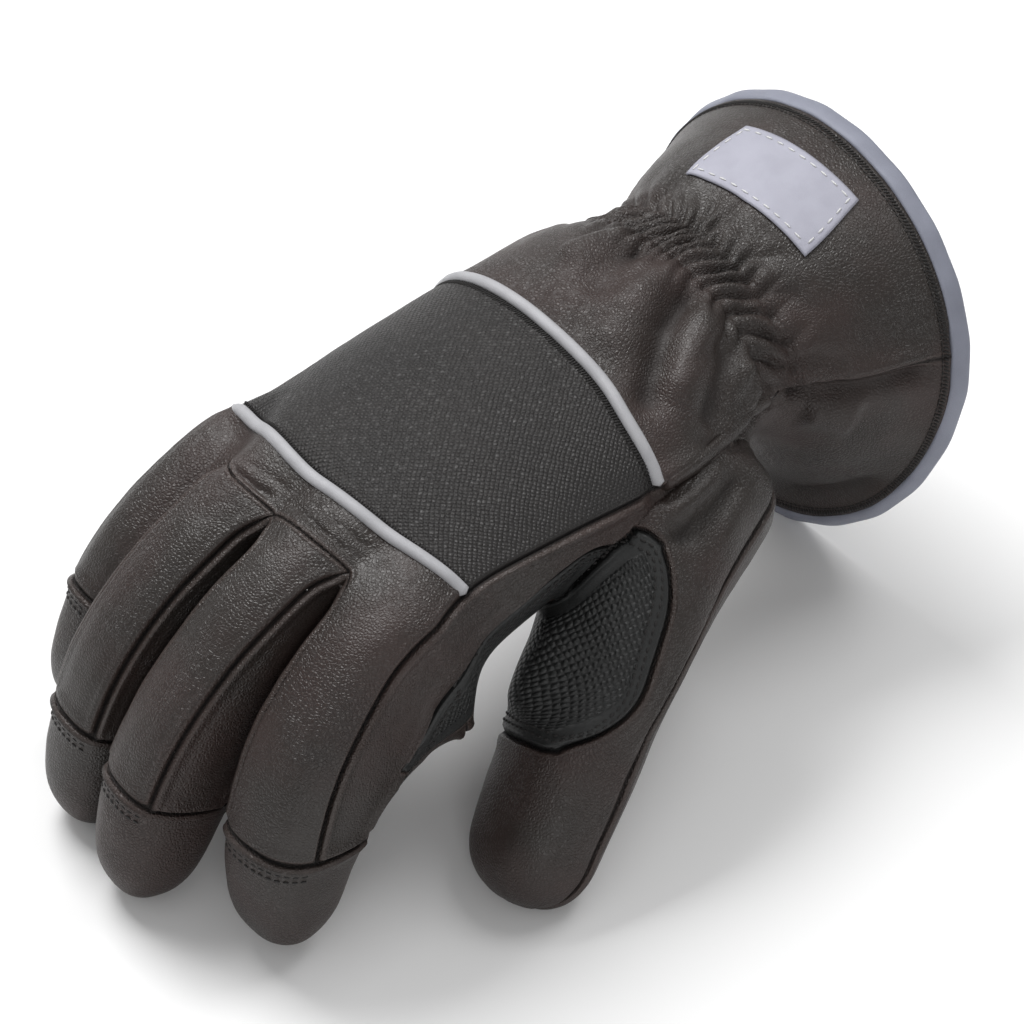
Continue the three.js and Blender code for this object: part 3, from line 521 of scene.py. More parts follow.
def thumb_point(t, angle):
    row = thumb_row_at(t / THUMB_LENGTH)
    scale = tip_scale(t, THUMB_LENGTH) * tip_scale(THUMB_LENGTH - t, THUMB_LENGTH) / 2
    half = row.width * THUMB_WIDTH * scale
    deep = THUMB_DEPTH * scale
    section = SimpleNamespace(
        thumb=half, pinky=half, back=deep * row.back, palm=deep * row.front, thenar=0.0, square=row.square
    )
    return framed(directed(thumb_line(t), row.turn, row.drop, row.roll), *rounded(angle, section))


THUMB_SEAMS = (-20, 160, 340)
THUMB_PATCH_FROM, THUMB_PATCH_TO = THUMB_PATCH_ROWS[0][0], THUMB_PATCH_ROWS[-1][0]


# The stretches of the thumb where its patch starts and ends, and where its tip ends.
THUMB_PATCH_ON, THUMB_PATCH_OFF, THUMB_END = 2, 5, 8


def thumb_share(row):
    """The share of the thumb's length at a row: before the patch, on it, and from it to the tip."""
    before = row / THUMB_PATCH_ON * THUMB_PATCH_FROM
    on = lerp(THUMB_PATCH_FROM, THUMB_PATCH_TO, (row - THUMB_PATCH_ON) / (THUMB_PATCH_OFF - THUMB_PATCH_ON))
    past = np.clip((row - THUMB_PATCH_OFF) / (THUMB_END - THUMB_PATCH_OFF), 0, 1)
    after = lerp(THUMB_PATCH_TO, 1, np.sin(past * np.pi / 2))
    return np.where(row < THUMB_PATCH_ON, before, np.where(row < THUMB_PATCH_OFF, on, after))


def thumb_place(start, end, share, row):
    at = thumb_share(row)
    patch = thumb_patch_at(at).angle
    start = patch if start == "patch" else start
    end = patch if end == "patch" else end
    return thumb_point(at * THUMB_LENGTH, lerp(start, end, share))


LEATHER_NODES = [
    "knuckle_panel",
    "rear_back_panel",
    "palm_panel",
    "middle_back",
    "ring_back",
    "index_cap",
    "middle_cap",
    "ring_cap",
    "little_cap",
    "index_front",
    "middle_front",
    "ring_front",
    "little_front",
    "fourchette_middle_index",
    "fourchette_ring_middle",
    "fourchette_little_ring",
    "index_side_panel",
    "thumb_outer",
    "thumb_inner",
]
NODES = LEATHER_NODES + ["backhand_patch", "crotch_patch_hand", "crotch_patch_thumb"]
NUMBER = {name: i for i, name in enumerate(NODES + ["front_piping", "rear_piping", "cuff_binding", "label_patch"])}


class Net:
    """A bmesh of grids, each placed by a function, its faces marked with their pieces."""

    def __init__(self):
        self.bm = bmesh.new()
        self.uv = self.bm.loops.layers.uv.new("flat")

    def grid(self, columns, rows, place, piece, uv_start=0.0, rise=None):
        """rows says how many fine rows each stretch has. place takes shares and rows as arrays."""
        bm = self.bm
        count = sum(rows)
        fine = np.concatenate([[0.0]] + [i + (np.arange(n) + 1) / n for i, n in enumerate(rows)])
        faces_before, verts_before = len(bm.faces), len(bm.verts)
        bmesh.ops.create_grid(bm, x_segments=columns, y_segments=count, size=1)
        bm.verts.ensure_lookup_table()
        bm.faces.ensure_lookup_table()
        verts = bm.verts[verts_before:]
        flat = np.array([v.co[:2] for v in verts])
        i = np.rint((flat[:, 0] + 1) / 2 * columns).astype(int)
        j = np.rint((flat[:, 1] + 1) / 2 * count).astype(int)
        places = place(i / columns, fine[j])
        table = np.zeros((columns + 1, count + 1, 3))
        table[i, j] = places
        steps = np.linalg.norm(np.diff(table, axis=0), axis=2)
        u = np.vstack([np.zeros((1, count + 1)), np.cumsum(steps, axis=0)])
        u = u + uv_start
        if rise is None:
            rise = np.linalg.norm(np.diff(table, axis=1), axis=2).mean(axis=0)
        v = np.concatenate([[0.0], np.cumsum(rise)])
        for vert, co in zip(verts, places):
            vert.co = co
        spot = {vert: (a, b) for vert, a, b in zip(verts, i.tolist(), j.tolist())}
        uv = self.uv
        for face in bm.faces[faces_before:]:
            corners = [spot[loop.vert] for loop in face.loops]
            a = min(c[0] for c in corners)
            b = min(c[1] for c in corners)
            middle = (fine[b] + fine[b + 1]) / 2
            face.material_index = NUMBER[piece(int(middle), (a + 0.5) / columns)]
            for loop, (p, q) in zip(face.loops, corners):
                loop[uv].uv = (u[p, q], v[q])
        return u[-1].copy(), rise


def build_hand():
    net = Net()
    rows = [n for _, _, _, n in STRETCHES]
    finger_rows = [FINGER_FINE_ROWS] * (FINGER_STEPS + CAP_STEPS)
    patch_rows = int(-HAND_PATCH_ROWS[0][0] / fingers[0].cap_at * FINGER_STEPS)
    starts = {"back": (0.0, None), "palm": (0.0, None)}
    for lane, finger in enumerate(fingers):
        before, after = lane > 0, lane < LANES - 1
        for strip in ("back", "palm"):
            starts[strip] = net.grid(
                BACK_COLUMNS if strip == "back" else PALM_COLUMNS,
                rows,
                lambda s, r, strip=strip, lane=lane: hand_place(strip, lane, s, r),
                lambda j, s, strip=strip: STRETCHES[j][2] if strip == "back" else "palm_panel",
                *starts[strip],
            )
        names = {
            "back": finger.name + "_back" if before and after else "knuckle_panel",
            "palm": finger.name + "_front",
            "thumb": f"fourchette_{finger.name}_{fingers[lane - 1].name}" if before else "index_side_panel",
            "pinky": f"fourchette_{fingers[lane + 1].name}_{finger.name}" if after else finger.name + "_front",
        }
        for strip, columns in (
            ("back", BACK_COLUMNS),
            ("palm", PALM_COLUMNS),
            ("thumb", SIDE_COLUMNS),
            ("pinky", SIDE_COLUMNS),
        ):

            def piece(j, share, name=names[strip], cap=finger.name + "_cap"):
                if j >= FINGER_STEPS:
                    return cap
                patched = name == "index_side_panel" and share < 0.5
                return "crotch_patch_hand" if patched and j < patch_rows else name

            net.grid(
                columns,
                finger_rows,
                lambda s, r, strip=strip, lane=lane: finger_place(strip, lane, s, r),
                piece,
            )

    def side_piece(j, share):
        y = float(row_y(j + 1, np.zeros(1))[0])
        if y > SIDE_PANEL_END + SEAM_GAP:
            return "palm_panel"
        return "crotch_patch_hand" if share < 0.5 and y < PATCH_TO else "index_side_panel"

    net.grid(SIDE_COLUMNS, rows, lambda s, r: hand_place("thumb", 0, s, r), side_piece)
    net.grid(SIDE_COLUMNS, rows, lambda s, r: hand_place("pinky", LANES - 1, s, r), lambda j, s: "palm_panel")
    return net


def build_thumb():
    net = Net()

    def patched(j, share):
        return "crotch_patch_thumb" if THUMB_PATCH_ON <= j < THUMB_PATCH_OFF else "thumb_outer"

    def laid(columns, start, end, piece):
        net.grid(columns, THUMB_FINE_ROWS, lambda s, r: thumb_place(start, end, s, r), piece)

    laid(THUMB_BEFORE_COLUMNS, THUMB_SEAMS[0], "patch", lambda j, s: "thumb_outer")
    laid(THUMB_OUTER_COLUMNS, "patch", THUMB_SEAMS[1], patched)
    laid(THUMB_INNER_COLUMNS, THUMB_SEAMS[1], THUMB_SEAMS[2], lambda j, s: "thumb_inner")
    return net


def mesh_object(name, bm):
    mesh = bpy.data.meshes.new(name)
    bm.to_mesh(mesh)
    bm.free()
    item = bpy.data.objects.new(name, mesh)
    bpy.context.scene.collection.objects.link(item)
    return item


def closed(net):
    """Welds a net's grids, floors it at the surface it lies on, and caps its open end."""
    bm = net.bm
    bmesh.ops.remove_doubles(bm, verts=bm.verts, dist=GRID_WELD)
    for v in bm.verts:
        v.co.z = max(v.co.z, 0.0)
    rim = [e for e in bm.edges if e.is_boundary]
    cap = bmesh.ops.holes_fill(bm, edges=rim, sides=0)["faces"]
    for face in cap:
        face.material_index = len(NODES)
    bmesh.ops.recalc_face_normals(bm, faces=bm.faces)
    return bm


def joined_skin():
    """The hand's and the thumb's skins made one, with the face of each piece marked."""
    hand = mesh_object("hand_skin", closed(build_hand()))
    thumb = mesh_object("thumb_skin", closed(build_thumb()))
    for item in (hand, thumb):
        for name in NODES + ["cap"]:
            mark = "mark_" + name
            item.data.materials.append(bpy.data.materials.get(mark) or bpy.data.materials.new(mark))
    modifier = hand.modifiers.new("join", "BOOLEAN")
    modifier.operation, modifier.solver, modifier.object = "UNION", "EXACT", thumb
    modifier.material_mode = "INDEX"
    graph = bpy.context.evaluated_depsgraph_get()
    mesh = bpy.data.meshes.new_from_object(hand.evaluated_get(graph))
    bm = bmesh.new()
    bm.from_mesh(mesh)
    for item in (hand, thumb):
        bpy.data.objects.remove(item)
    bmesh.ops.delete(bm, geom=[f for f in bm.faces if f.material_index == len(NODES)], context="FACES")
    bmesh.ops.remove_doubles(bm, verts=bm.verts, dist=SKIN_WELD)
    return bm


# How far the skin is smoothed beside the line where the thumb joins the hand.
THUMB_FILLET = 7.0
# Panels that are one piece of leather, with no seam where they meet, and those that a piping joins.
SEAMLESS = [
    ("index_side_panel", "thumb_outer"),
    ("palm_panel", "thumb_outer"),
    ("palm_panel", "thumb_inner"),
    ("index_side_panel", "palm_panel"),
    ("knuckle_panel", "backhand_patch"),
    ("backhand_patch", "rear_back_panel"),
]
# The y of the two elastic rows across the wrist, and how wide one pucker is.
SHIRRING = (117.5, 127.5)
PUCKER = 4.8
# How far the puckers reach from the middle of the rows, and how high each kind stands.
SHIRRED_REACH = 34
PUFF_HEIGHT, MERGED_HEIGHT, ROW_DEPTH = 3.1, 2.2, 1.0

# Folds and creases: points along each in the glove's own measures, then its width and height.
FOLDS = [
    ([(4.0, 116.0, 99.5), (9.0, 104.0, 99.5), (14.0, 92.0, 97.5), (16.0, 82.0, 96.0)], 7.0, 2.4),
    (
        [(11.0, 117.0, 98.6), (16.0, 108.0, 98.3), (22.0, 98.0, 97.0), (30.0, 88.0, 93.5), (36.0, 80.0, 90.0)],
        4.0,
        -3.4,
    ),
    ([(21.0, 115.0, 97.0), (26.0, 106.0, 95.0), (31.0, 97.0, 93.5), (36.0, 88.0, 90.0)], 5.5, 2.8),
    ([(28.0, 115.0, 93.0), (32.0, 109.0, 90.5), (37.0, 102.0, 87.0), (42.0, 94.0, 83.0)], 3.6, -3.0),
    ([(32.7, 114.8, 87.5), (37.6, 112.3, 79.7)], 3.6, 1.8),
    ([(-9.0, 116.0, 98.5), (-12.3, 108.0, 98.5), (-13.1, 96.0, 98.8)], 5.0, 1.8),
    ([(-3.2, 116.0, 98.8), (-1.0, 105.0, 99.3), (1.0, 92.0, 98.2)], 4.5, -2.0),
    ([(55.4, 70.2, 71.3), (55.6, 77.6, 71.6), (53.5, 88.7, 72.9), (50.4, 99.2, 73.9)], 2.6, -3.2),
    ([(50.5, 72.0, 74.0), (50.0, 82.0, 75.0), (47.0, 95.0, 76.0)], 4.0, 2.4),
    ([(50.0, 50.0, 54.0), (50.0, 36.0, 47.0), (49.0, 26.0, 42.0)], 8.0, 4.5),
    ([(36.4, 129.5, 64.9), (39.0, 134.6, 63.1), (43.5, 142.6, 59.6)], 5.0, 2.8),
    ([(30.0, 134.0, 78.0), (40.0, 142.0, 74.0)], 3.0, -1.8),
    ([(12.5, 147.8, 11.2), (23.9, 148.1, 18.1), (36.5, 149.6, 28.8), (44.0, 153.1, 34.7)], 3.0, -2.0),
    ([(51.9, 97.9, 72.7), (64.6, 73.2, 58.7), (74.3, 46.9, 37.5)], 5.0, 1.4),
    ([(-18.0, 2.0, 84.4), (-9.2, 2.0, 84.4), (-3.0, 3.2, 84.4)], 1.0, -1.0),
    ([(-16.0, 5.0, 84.8), (-8.0, 6.5, 85.0), (-1.0, 6.5, 85.0)], 0.9, -0.7),
    ([(1.8, 4.1, 85.4), (14.5, 2.2, 87.6), (24.0, 3.8, 85.1)], 1.0, -1.0),
    ([(4.0, 7.5, 86.0), (15.0, 6.0, 88.0), (26.0, 8.0, 86.0)], 0.9, -0.7),
]


def near(tree_places, co, reach):
    """How far each place is from the nearest of some others, up to a reach."""
    tree = KDTree(len(tree_places))
    for i, place in enumerate(tree_places):
        tree.insert(place, i)
    tree.balance()
    return np.array([min(tree.find(place)[2], reach) for place in co])


def relax(bm, verts, rounds):
    for _ in range(rounds):
        bmesh.ops.smooth_vert(bm, verts=verts, factor=0.5, use_axis_x=True, use_axis_y=True, use_axis_z=True)


def even_seam(bm, mask, rounds):
    """Evens out a seam's line, each corner towards its two neighbours on it."""
    verts = [v for v, on in zip(bm.verts, mask) if on]
    spot = {v: i for i, v in enumerate(verts)}
    beside = [[spot[e.other_vert(v)] for e in v.link_edges if e.other_vert(v) in spot] for v in verts]
    co = np.array([v.co for v in verts])
    for _ in range(rounds):
        mean = np.array([co[found].mean(axis=0) if len(found) > 1 else co[i] for i, found in enumerate(beside)])
        co = (co + mean) / 2
    for v, place in zip(verts, co):
        v.co = place


def piece_masks(bm):
    """Which corners each node's faces hold."""
    masks = {name: np.zeros(len(bm.verts), bool) for name in NODES}
    bm.verts.index_update()
    for face in bm.faces:
        mask = masks[NODES[face.material_index]]
        for v in face.verts:
            mask[v.index] = True
    return masks


def seam_verts(masks, skip):
    """Corners that two nodes share, apart from those on the pairs to skip."""
    names = list(masks)
    found = np.zeros(len(masks[names[0]]), bool)
    skipped = {frozenset(pair) for pair in skip}
    for i, a in enumerate(names):
        for b in names[i + 1 :]:
            if frozenset((a, b)) not in skipped:
                found |= masks[a] & masks[b]
    return found


def fold(co, points, width, height, taper=0.25):
    """A ridge, or with a height under 0 a groove, along a bent line, fading to its ends."""
    points = np.array(points, float)
    lengths = np.linalg.norm(np.diff(points, axis=0), axis=1)
    total = lengths.sum()
    best = np.full(len(co), 1e9)
    at = np.zeros(len(co))
    start = 0.0
    for a, b, length in zip(points[:-1], points[1:], lengths):
        share = np.clip((co - a) @ (b - a) / length**2, 0, 1)
        far = np.linalg.norm(co - (a + share[:, None] * (b - a)), axis=1)
        better = far < best
        best = np.where(better, far, best)
        at = np.where(better, start + share * length, at)
        start += length
    ends = smooth(np.minimum(at, total - at) / (taper * total) + 0.15)
    return height * hump(best, width) * ends


def rough(co, size, seed=0.0):
    """Smooth noise between -1 and 1 over lumps of a size in millimetres."""
    shift = Vector((seed, 2 * seed, 3 * seed))
    return np.array([noise.noise(Vector(place) / size + shift) for place in co])


def shirred(co):
    """Puckers of the two elastic rows across the back of the wrist."""
    y = co[:, 1]
    row = hand_at(y)
    angle = np.arctan2(co[:, 2] - row.mid, co[:, 0] - row.shift) / RAD
    on_back = smooth((angle + 12) / 14) * smooth((188 - angle) / 14)
    on_back = np.where(angle < -90, 0, on_back)
    height = np.zeros(len(co))
    first, second = SHIRRING
    middle = (first + second) / 2
    pick = np.flatnonzero((np.abs(y - middle) < SHIRRED_REACH) & (on_back > 0))
    place, y, angle = co[pick], y[pick], angle[pick]
    turns = np.arange(-40.0, 221.0, 2.0)
    steps = np.linalg.norm(np.diff(rim_place(turns, middle + 0 * turns), axis=0), axis=1)
    arc = np.interp(angle, turns, np.concatenate([[0.0], np.cumsum(steps)]))
    wobble = rough(place * [1, 0.4, 1], 9, 3.0)
    between = np.clip((y - first) / (second - first), 0, 1)
    slant = np.where(y < first, first - y, np.where(y < second, y - first, 2 * second - first - y))
    phase = arc / PUCKER + 0.1 * slant + 0.5 * wobble
    puffs = np.abs(np.sin(np.pi * phase)) ** 0.8 - 0.62
    merged = np.abs(np.sin(np.pi * (arc / (2.7 * PUCKER) + 0.7 * wobble + 0.25))) - 0.6
    off = np.minimum(np.abs(y - first), np.abs(y - second))
    size = 1 + 0.6 * rough(place, 7, 5.0)
    inside = 0.6 + 0.4 * np.sin(np.pi * between)
    puffed = np.where((between > 0) & (between < 1), inside, 0.6 * hump(off, 6.0))
    height[pick] = size * PUFF_HEIGHT * puffs * puffed
    height[pick] += MERGED_HEIGHT * merged * hump(off, np.where(y < first, 14.0, 10.0)) * smooth(off / 6)
    height[pick] -= ROW_DEPTH * hump(off, 1.0)
    return height * on_back


def set_layer(bm, name, values):
    layer = bm.verts.layers.float.new(name)
    for v, value in zip(bm.verts, values.tolist()):
        v[layer] = value


# How many places a line along a seam has, and how many times it is evened out.
LINE_PLACES, LINE_ROUNDS = 150, 50
# The furthest that a place's distance to a seam is measured.
SEAM_REACH = 8
# Depth and width of a seam's groove, then height, place and width of the welt beside it.
GROOVE_DEPTH, GROOVE_WIDTH = 0.75, 0.8
WELT_HEIGHT, WELT_AT, WELT_WIDTH = 0.45, 1.9, 1.0
# Where the back panel laps over: height and width on top, depths before and past the wrist, place and width below.
LAP_AT, LAP_HEIGHT, LAP_WIDTH = 2.2, 1.6, 2.6
UNDER_DEPTH, UNDER_CUFF_DEPTH, UNDER_WIDTH, CUFF_LAP_FROM = -1.6, -2.6, 2.4, 126
# The rolled edges of the side panels, and the lip that each cap starts with.
ROLL_HEIGHT, ROLL_AT, ROLL_WIDTH = 0.7, 1.4, 0.8
LIP_HEIGHT, LIP_AT, LIP_WIDTH = 0.9, 1.0, 1.0
# The y between which the lapped edge is thick enough to be a cord.
CORD_FROM, CORD_TO = 76, 119


def line_between(co, normals, mask, axis):
    """The corners on a seam, in order along an axis, spaced and evened out."""
    pick = np.flatnonzero(mask)
    pick = pick[np.argsort(co[pick, axis])]
    at = np.linspace(co[pick[0], axis], co[pick[-1], axis], LINE_PLACES)
    path = np.stack([np.interp(at, co[pick, axis], co[pick, k]) for k in range(3)], -1)
    ups = np.stack([np.interp(at, co[pick, axis], normals[pick, k]) for k in range(3)], -1)
    for _ in range(LINE_ROUNDS):
        path[1:-1] = (path[:-2] + 2 * path[1:-1] + path[2:]) / 4
        ups[1:-1] = (ups[:-2] + 2 * ups[1:-1] + ups[2:]) / 4
    return path, unit(ups)


def dressed(bm, sizes):
    """Moves the skin's corners to the glove's folds, gathers and rolled seams."""
    masks = piece_masks(bm)
    thumb = masks["thumb_outer"] | masks["thumb_inner"] | masks["crotch_patch_thumb"]
    hand = masks["palm_panel"] | masks["index_side_panel"] | masks["crotch_patch_hand"]
    verts = list(bm.verts)
    co = np.array([v.co for v in verts])
    front_line = masks["knuckle_panel"] & masks["backhand_patch"]
    rear_line = masks["backhand_patch"] & masks["rear_back_panel"]
    for line, reach, rounds in (
        (thumb & hand, THUMB_FILLET, 14),
        (thumb & hand, THUMB_FILLET / 2, 10),
        (front_line, 7.0, 30),
        (front_line, 3.5, 30),
        (masks["knuckle_panel"] & (masks["middle_back"] | masks["ring_back"]), 5.0, 16),
        (masks["palm_panel"] & masks["index_front"], 12.0, 30),
        (masks["crotch_patch_hand"] & (masks["palm_panel"] | masks["index_front"]), 6.0, 20),
    ):
        away = near(co[line], co, 12)
        relax(bm, [v for v, far in zip(verts, away) if far < reach], rounds)
    relax(bm, [v for v in verts if -14 < v.co.y < 26 and v.co.z > 30], 6)
    side = masks["index_side_panel"] | masks["palm_panel"]
    for line, rounds in (
        (masks["rear_back_panel"] & (side | masks["thumb_outer"] | masks["crotch_patch_thumb"]), 60),
        (masks["crotch_patch_hand"] & (side | masks["thumb_outer"] | masks["index_front"]), 60),
        (masks["crotch_patch_thumb"] & (side | masks["crotch_patch_hand"]), 40),
        (masks["crotch_patch_thumb"] & masks["thumb_outer"], 20),
        (masks["backhand_patch"] & masks["index_side_panel"], 30),
    ):
        even_seam(bm, line, rounds)
        away = near(np.array([v.co for v in verts])[line], co, 6)
        relax(bm, [v for v, far, on in zip(verts, away, line) if far < 6 and not on], 6)
    relax(bm, verts, 2)
    bm.normal_update()
    co = np.array([v.co for v in verts])
    normals = np.array([v.normal for v in verts])

    height = shirred(co) * sizes.gathers
    for points, width, high in FOLDS:
        height += fold(co, points, width, high) * sizes.folds
    height += 0.4 * rough(co, 19, 1.0) + 0.14 * rough(co, 6, 2.0)
    seams = seam_verts(masks, SEAMLESS)
    gap = near(co[seams], co, SEAM_REACH)
    knuckle = near(co[masks["knuckle_panel"] & (masks["middle_back"] | masks["ring_back"])], co, SEAM_REACH)
    sewn_deep = 0.25 + 0.75 * smooth((knuckle - 1.5) / 3)
    web_line = masks["crotch_patch_hand"] & (masks["palm_panel"] | masks["index_front"])
    web = near(co[web_line], co, SEAM_REACH)
    sewn_deep *= 0.1 + 0.9 * smooth((web - 1.0) / 5)
    height += (-GROOVE_DEPTH * hump(gap, GROOVE_WIDTH) + WELT_HEIGHT * hump(gap - WELT_AT, WELT_WIDTH)) * sewn_deep
    # The back panel's edge laps over the side panel and the palm from the rear piping to the cuff.
    lapped = masks["rear_back_panel"] & (masks["index_side_panel"] | masks["palm_panel"]) & (co[:, 0] > 0)
    lap = near(co[lapped], co, SEAM_REACH)
    deep = np.where(co[:, 1] > CUFF_LAP_FROM, UNDER_CUFF_DEPTH, UNDER_DEPTH)
    under = deep * hump(lap - LAP_AT, UNDER_WIDTH)
    height += np.where(masks["rear_back_panel"], LAP_HEIGHT * hump(lap - LAP_AT, LAP_WIDTH), under)
    # Side panels are rolled over at their edges.
    sides = np.any([m for name, m in masks.items() if name.startswith("fourchette")], axis=0)
    sides |= masks["index_side_panel"]
    height += np.where(sides & (lap > 6), ROLL_HEIGHT * hump(gap - ROLL_AT, ROLL_WIDTH), 0)
    # Each cap starts with a raised lip.
    caps = np.any([masks[f.name + "_cap"] for f in fingers], axis=0)
    backs = masks["knuckle_panel"] | masks["middle_back"] | masks["ring_back"] | masks["index_side_panel"]
    lip = near(co[caps & backs], co, SEAM_REACH)
    height += np.where(caps, LIP_HEIGHT * hump(lip - LIP_AT, LIP_WIDTH), 0)
    textile = masks["backhand_patch"]
    height = np.where(textile, height * 0.4 - 0.2, height)
    height *= smooth((PANEL_END - co[:, 1]) / 7)
    co = co + normals * height[:, None]
    co[:, 2] = np.maximum(co[:, 2], 0.0)
    for v, place in zip(verts, co):
        v.co = place
    # The patch in the web is sewn down flat at its palm edge.
    relax(bm, [v for v, far in zip(verts, web) if far < 6], 14)
    co = np.array([v.co for v in verts])
    # Upward faces stay high enough for the wall inside them to end above the floor.
    bm.normal_update()
    upward = np.array([max(face.normal.z for face in v.link_faces) for v in verts])
    co[:, 2] = np.maximum(co[:, 2], 1.2 * sizes.wall / MM * np.clip(upward, 0, 1))
    for v, place in zip(verts, co):
        v.co = place
    piped = near(co[front_line | rear_line], co, SEAM_REACH)
    # The seam distance, pushed further out where a seam is sewn shallow, sets the painted shade along the seams
    # and the painted highlight on the welts; the rise sets the painted shade in the valleys.
    set_layer(bm, "seam", np.minimum(gap + 0.5 * (1 - sewn_deep), SEAM_REACH))
    set_layer(bm, "piped", piped)
    set_layer(bm, "rise", height)
    bm.normal_update()
    normals = np.array([v.normal for v in bm.verts])
    lapped &= (co[:, 1] > CORD_FROM) & (co[:, 1] < CORD_TO)
    return {
        "front_piping": line_between(co, normals, front_line, 0),
        "rear_piping": line_between(co, normals, rear_line, 0),
        "back_panel_edge": line_between(co, normals, lapped, 1),
    }


class Skin:
    """The dressed skin, made once for all the pieces that are cut from it or lie on it."""

    bm = None
    tree = None
    lines = None


def skin():
    if Skin.bm is None:
        Skin.bm = joined_skin()
        Skin.lines = dressed(Skin.bm, bpy.context.scene.glove_sizes)
        Skin.tree = BVHTree.FromBMesh(Skin.bm)
    return Skin


def panel(name):
    """One node's faces, drawn in at the seam."""
    part = skin().bm.copy()
    number = NUMBER[name]
    bmesh.ops.delete(part, geom=[f for f in part.faces if f.material_index != number], context="FACES")
    gap = bpy.context.scene.glove_sizes.seam_gap / MM
    moves = []
    for v in part.verts:
        if v.is_boundary:
            inward = [e.other_vert(v) for e in v.link_edges if not e.is_boundary]
            if inward:
                middle = sum((o.co for o in inward), Vector()) / len(inward)
                moves.append((v, (middle - v.co).normalized() * gap / 2))
    for v, move in moves:
        v.co += move
    return part


def finished(name, bm, material, node=None, wall=0.0):
    """The object of a finished mesh, moved to the shared frame, riding on the glove's one body."""
    for v in bm.verts:
        v.co.z = max(v.co.z, 0.0)
        v.co = (v.co + Vector(ORIGIN)) * MM
    for face in bm.faces:
        face.material_index = 0
        face.smooth = True
    item = mesh_object(name, bm)
    item.data.materials.clear()
    item.data.materials.append(material)
    if wall:
        modifier = item.modifiers.new("wall", "SOLIDIFY")
        modifier.thickness, modifier.offset = wall, -1
        modifier.use_even_offset, modifier.use_rim = False, True
    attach(item, "root")
    if node:
        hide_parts(node)
    return item


def sewn(names, material):
    wall = bpy.context.scene.glove_sizes.wall
    for name in names:
        finished(name + "_sewn", panel(name), material, node=name, wall=wall)


def resampled(path, pitch):
    """Places along a path, one pitch apart."""
    lengths = np.concatenate([[0.0], np.cumsum(np.linalg.norm(np.diff(path, axis=0), axis=1))])
    at = np.arange(pitch / 2, lengths[-1], pitch)
    return np.stack([np.interp(at, lengths, path[:, k]) for k in range(3)], -1)


def stitch_row(bm, tree, path, pitch, length, width, height, lean=0.0, lift=0.0, shake=0.0):
    """Small rounded stitches along a path, lying on the skin. lean turns each off the row, in degrees."""
    places = resampled(np.asarray(path, float), pitch)
    ahead = unit(np.gradient(places, axis=0))
    for place, along in zip(places, ahead):
        spot, normal, _, _ = tree.find_nearest(Vector(place))
        along = Vector(along)
        along = (along - normal * along.dot(normal)).normalized()
        jitter = shake * noise.noise(Vector(place) * 1.7)
        along = Matrix.Rotation((lean + 40 * jitter) * RAD, 3, normal) @ along
        side = normal.cross(along)
        size = (length * (1 + jitter) / 2, width / 2, height / 2)
        turned = Matrix((along * size[0], side * size[1], normal * size[2])).transposed().to_4x4()
        turned.translation = spot + normal * lift
        bmesh.ops.create_uvsphere(bm, u_segments=6, v_segments=4, radius=1, matrix=turned)


def swept(name, path, ups, half_wide, half_high, around=14, rounded_ends=True):
    """A cord of an oval section along a path, closed at its ends."""
    lengths = np.concatenate([[0.0], np.cumsum(np.linalg.norm(np.diff(path, axis=0), axis=1))])
    ahead = unit(np.gradient(path, axis=0))
    side = unit(np.cross(ahead, ups))
    up = np.cross(side, ahead)
    reach = np.clip(np.minimum(lengths, lengths[-1] - lengths) / (half_wide * 0.5), 0, 1)
    scale = np.sqrt(1 - (1 - reach) ** 2) if rounded_ends else np.ones_like(reach)
    net = Net()

    def place(share, row):
        j = np.rint(row * (len(path) - 1)).astype(int)
        turn = share * 2 * np.pi
        across, high = np.cos(turn) * half_wide * scale[j], np.sin(turn) * half_high * scale[j]
        return path[j] + side[j] * across[:, None] + up[j] * high[:, None]

    net.grid(around, [len(path) - 1], place, lambda j, s: name)
    bmesh.ops.remove_doubles(net.bm, verts=net.bm.verts, dist=0.01)
    bmesh.ops.recalc_face_normals(net.bm, faces=net.bm.faces)
    return net.bm


def rim_place(angle, y):
    row = hand_at(y)
    return framed(hand_frame(y), *rounded(angle, row))


def bound_edge(width, wall):
    """The folded tape round the cuff's edge."""
    net = Net()
    half, thick = width / 2 + 0.6, wall / 2 + 0.4

    def place(share, row):
        angle = row * 360.0
        middle = EDGE_AT - width / 2 - 0.35 + 0 * angle
        here = rim_place(angle, middle)
        along = unit(rim_place(angle, middle + 0.5) - rim_place(angle, middle - 0.5))
        round_it = unit(rim_place(angle + 0.5, middle) - rim_place(angle - 0.5, middle))
        out = np.cross(round_it, along)
        out = out * np.sign(np.sum(out * (here - hand_frame(middle)[0]), axis=1))[:, None]
        turn = share * 2 * np.pi
        c, s = np.cos(turn), np.sin(turn)
        power = 2 / 3.0
        lean = np.sign(c) * np.abs(c) ** power * half
        rise = np.sign(s) * np.abs(s) ** power * thick - wall / 2 + 0.15 * np.sin(angle * RAD * 23)
        return here + along * lean[:, None] + out * rise[:, None]

    net.grid(24, [420], place, lambda j, s: "cuff_binding")
    bmesh.ops.remove_doubles(net.bm, verts=net.bm.verts, dist=PIECE_WELD)
    bmesh.ops.recalc_face_normals(net.bm, faces=net.bm.faces)
    return net.bm


# The label's corners: y along the cuff and the angle round it.
LABEL_CORNERS = ((137.2, 115.5), (153.2, 111.0), (155.2, 66.0), (139.2, 58.5))


def label_place(across, along):
    (ya, aa), (yb, ab), (yc, ac), (yd, ad) = LABEL_CORNERS
    y = lerp(lerp(ya, yb, along), lerp(yd, yc, along), across)
    angle = lerp(lerp(aa, ab, along), lerp(ad, ac, along), across)
    return rim_place(angle, y)


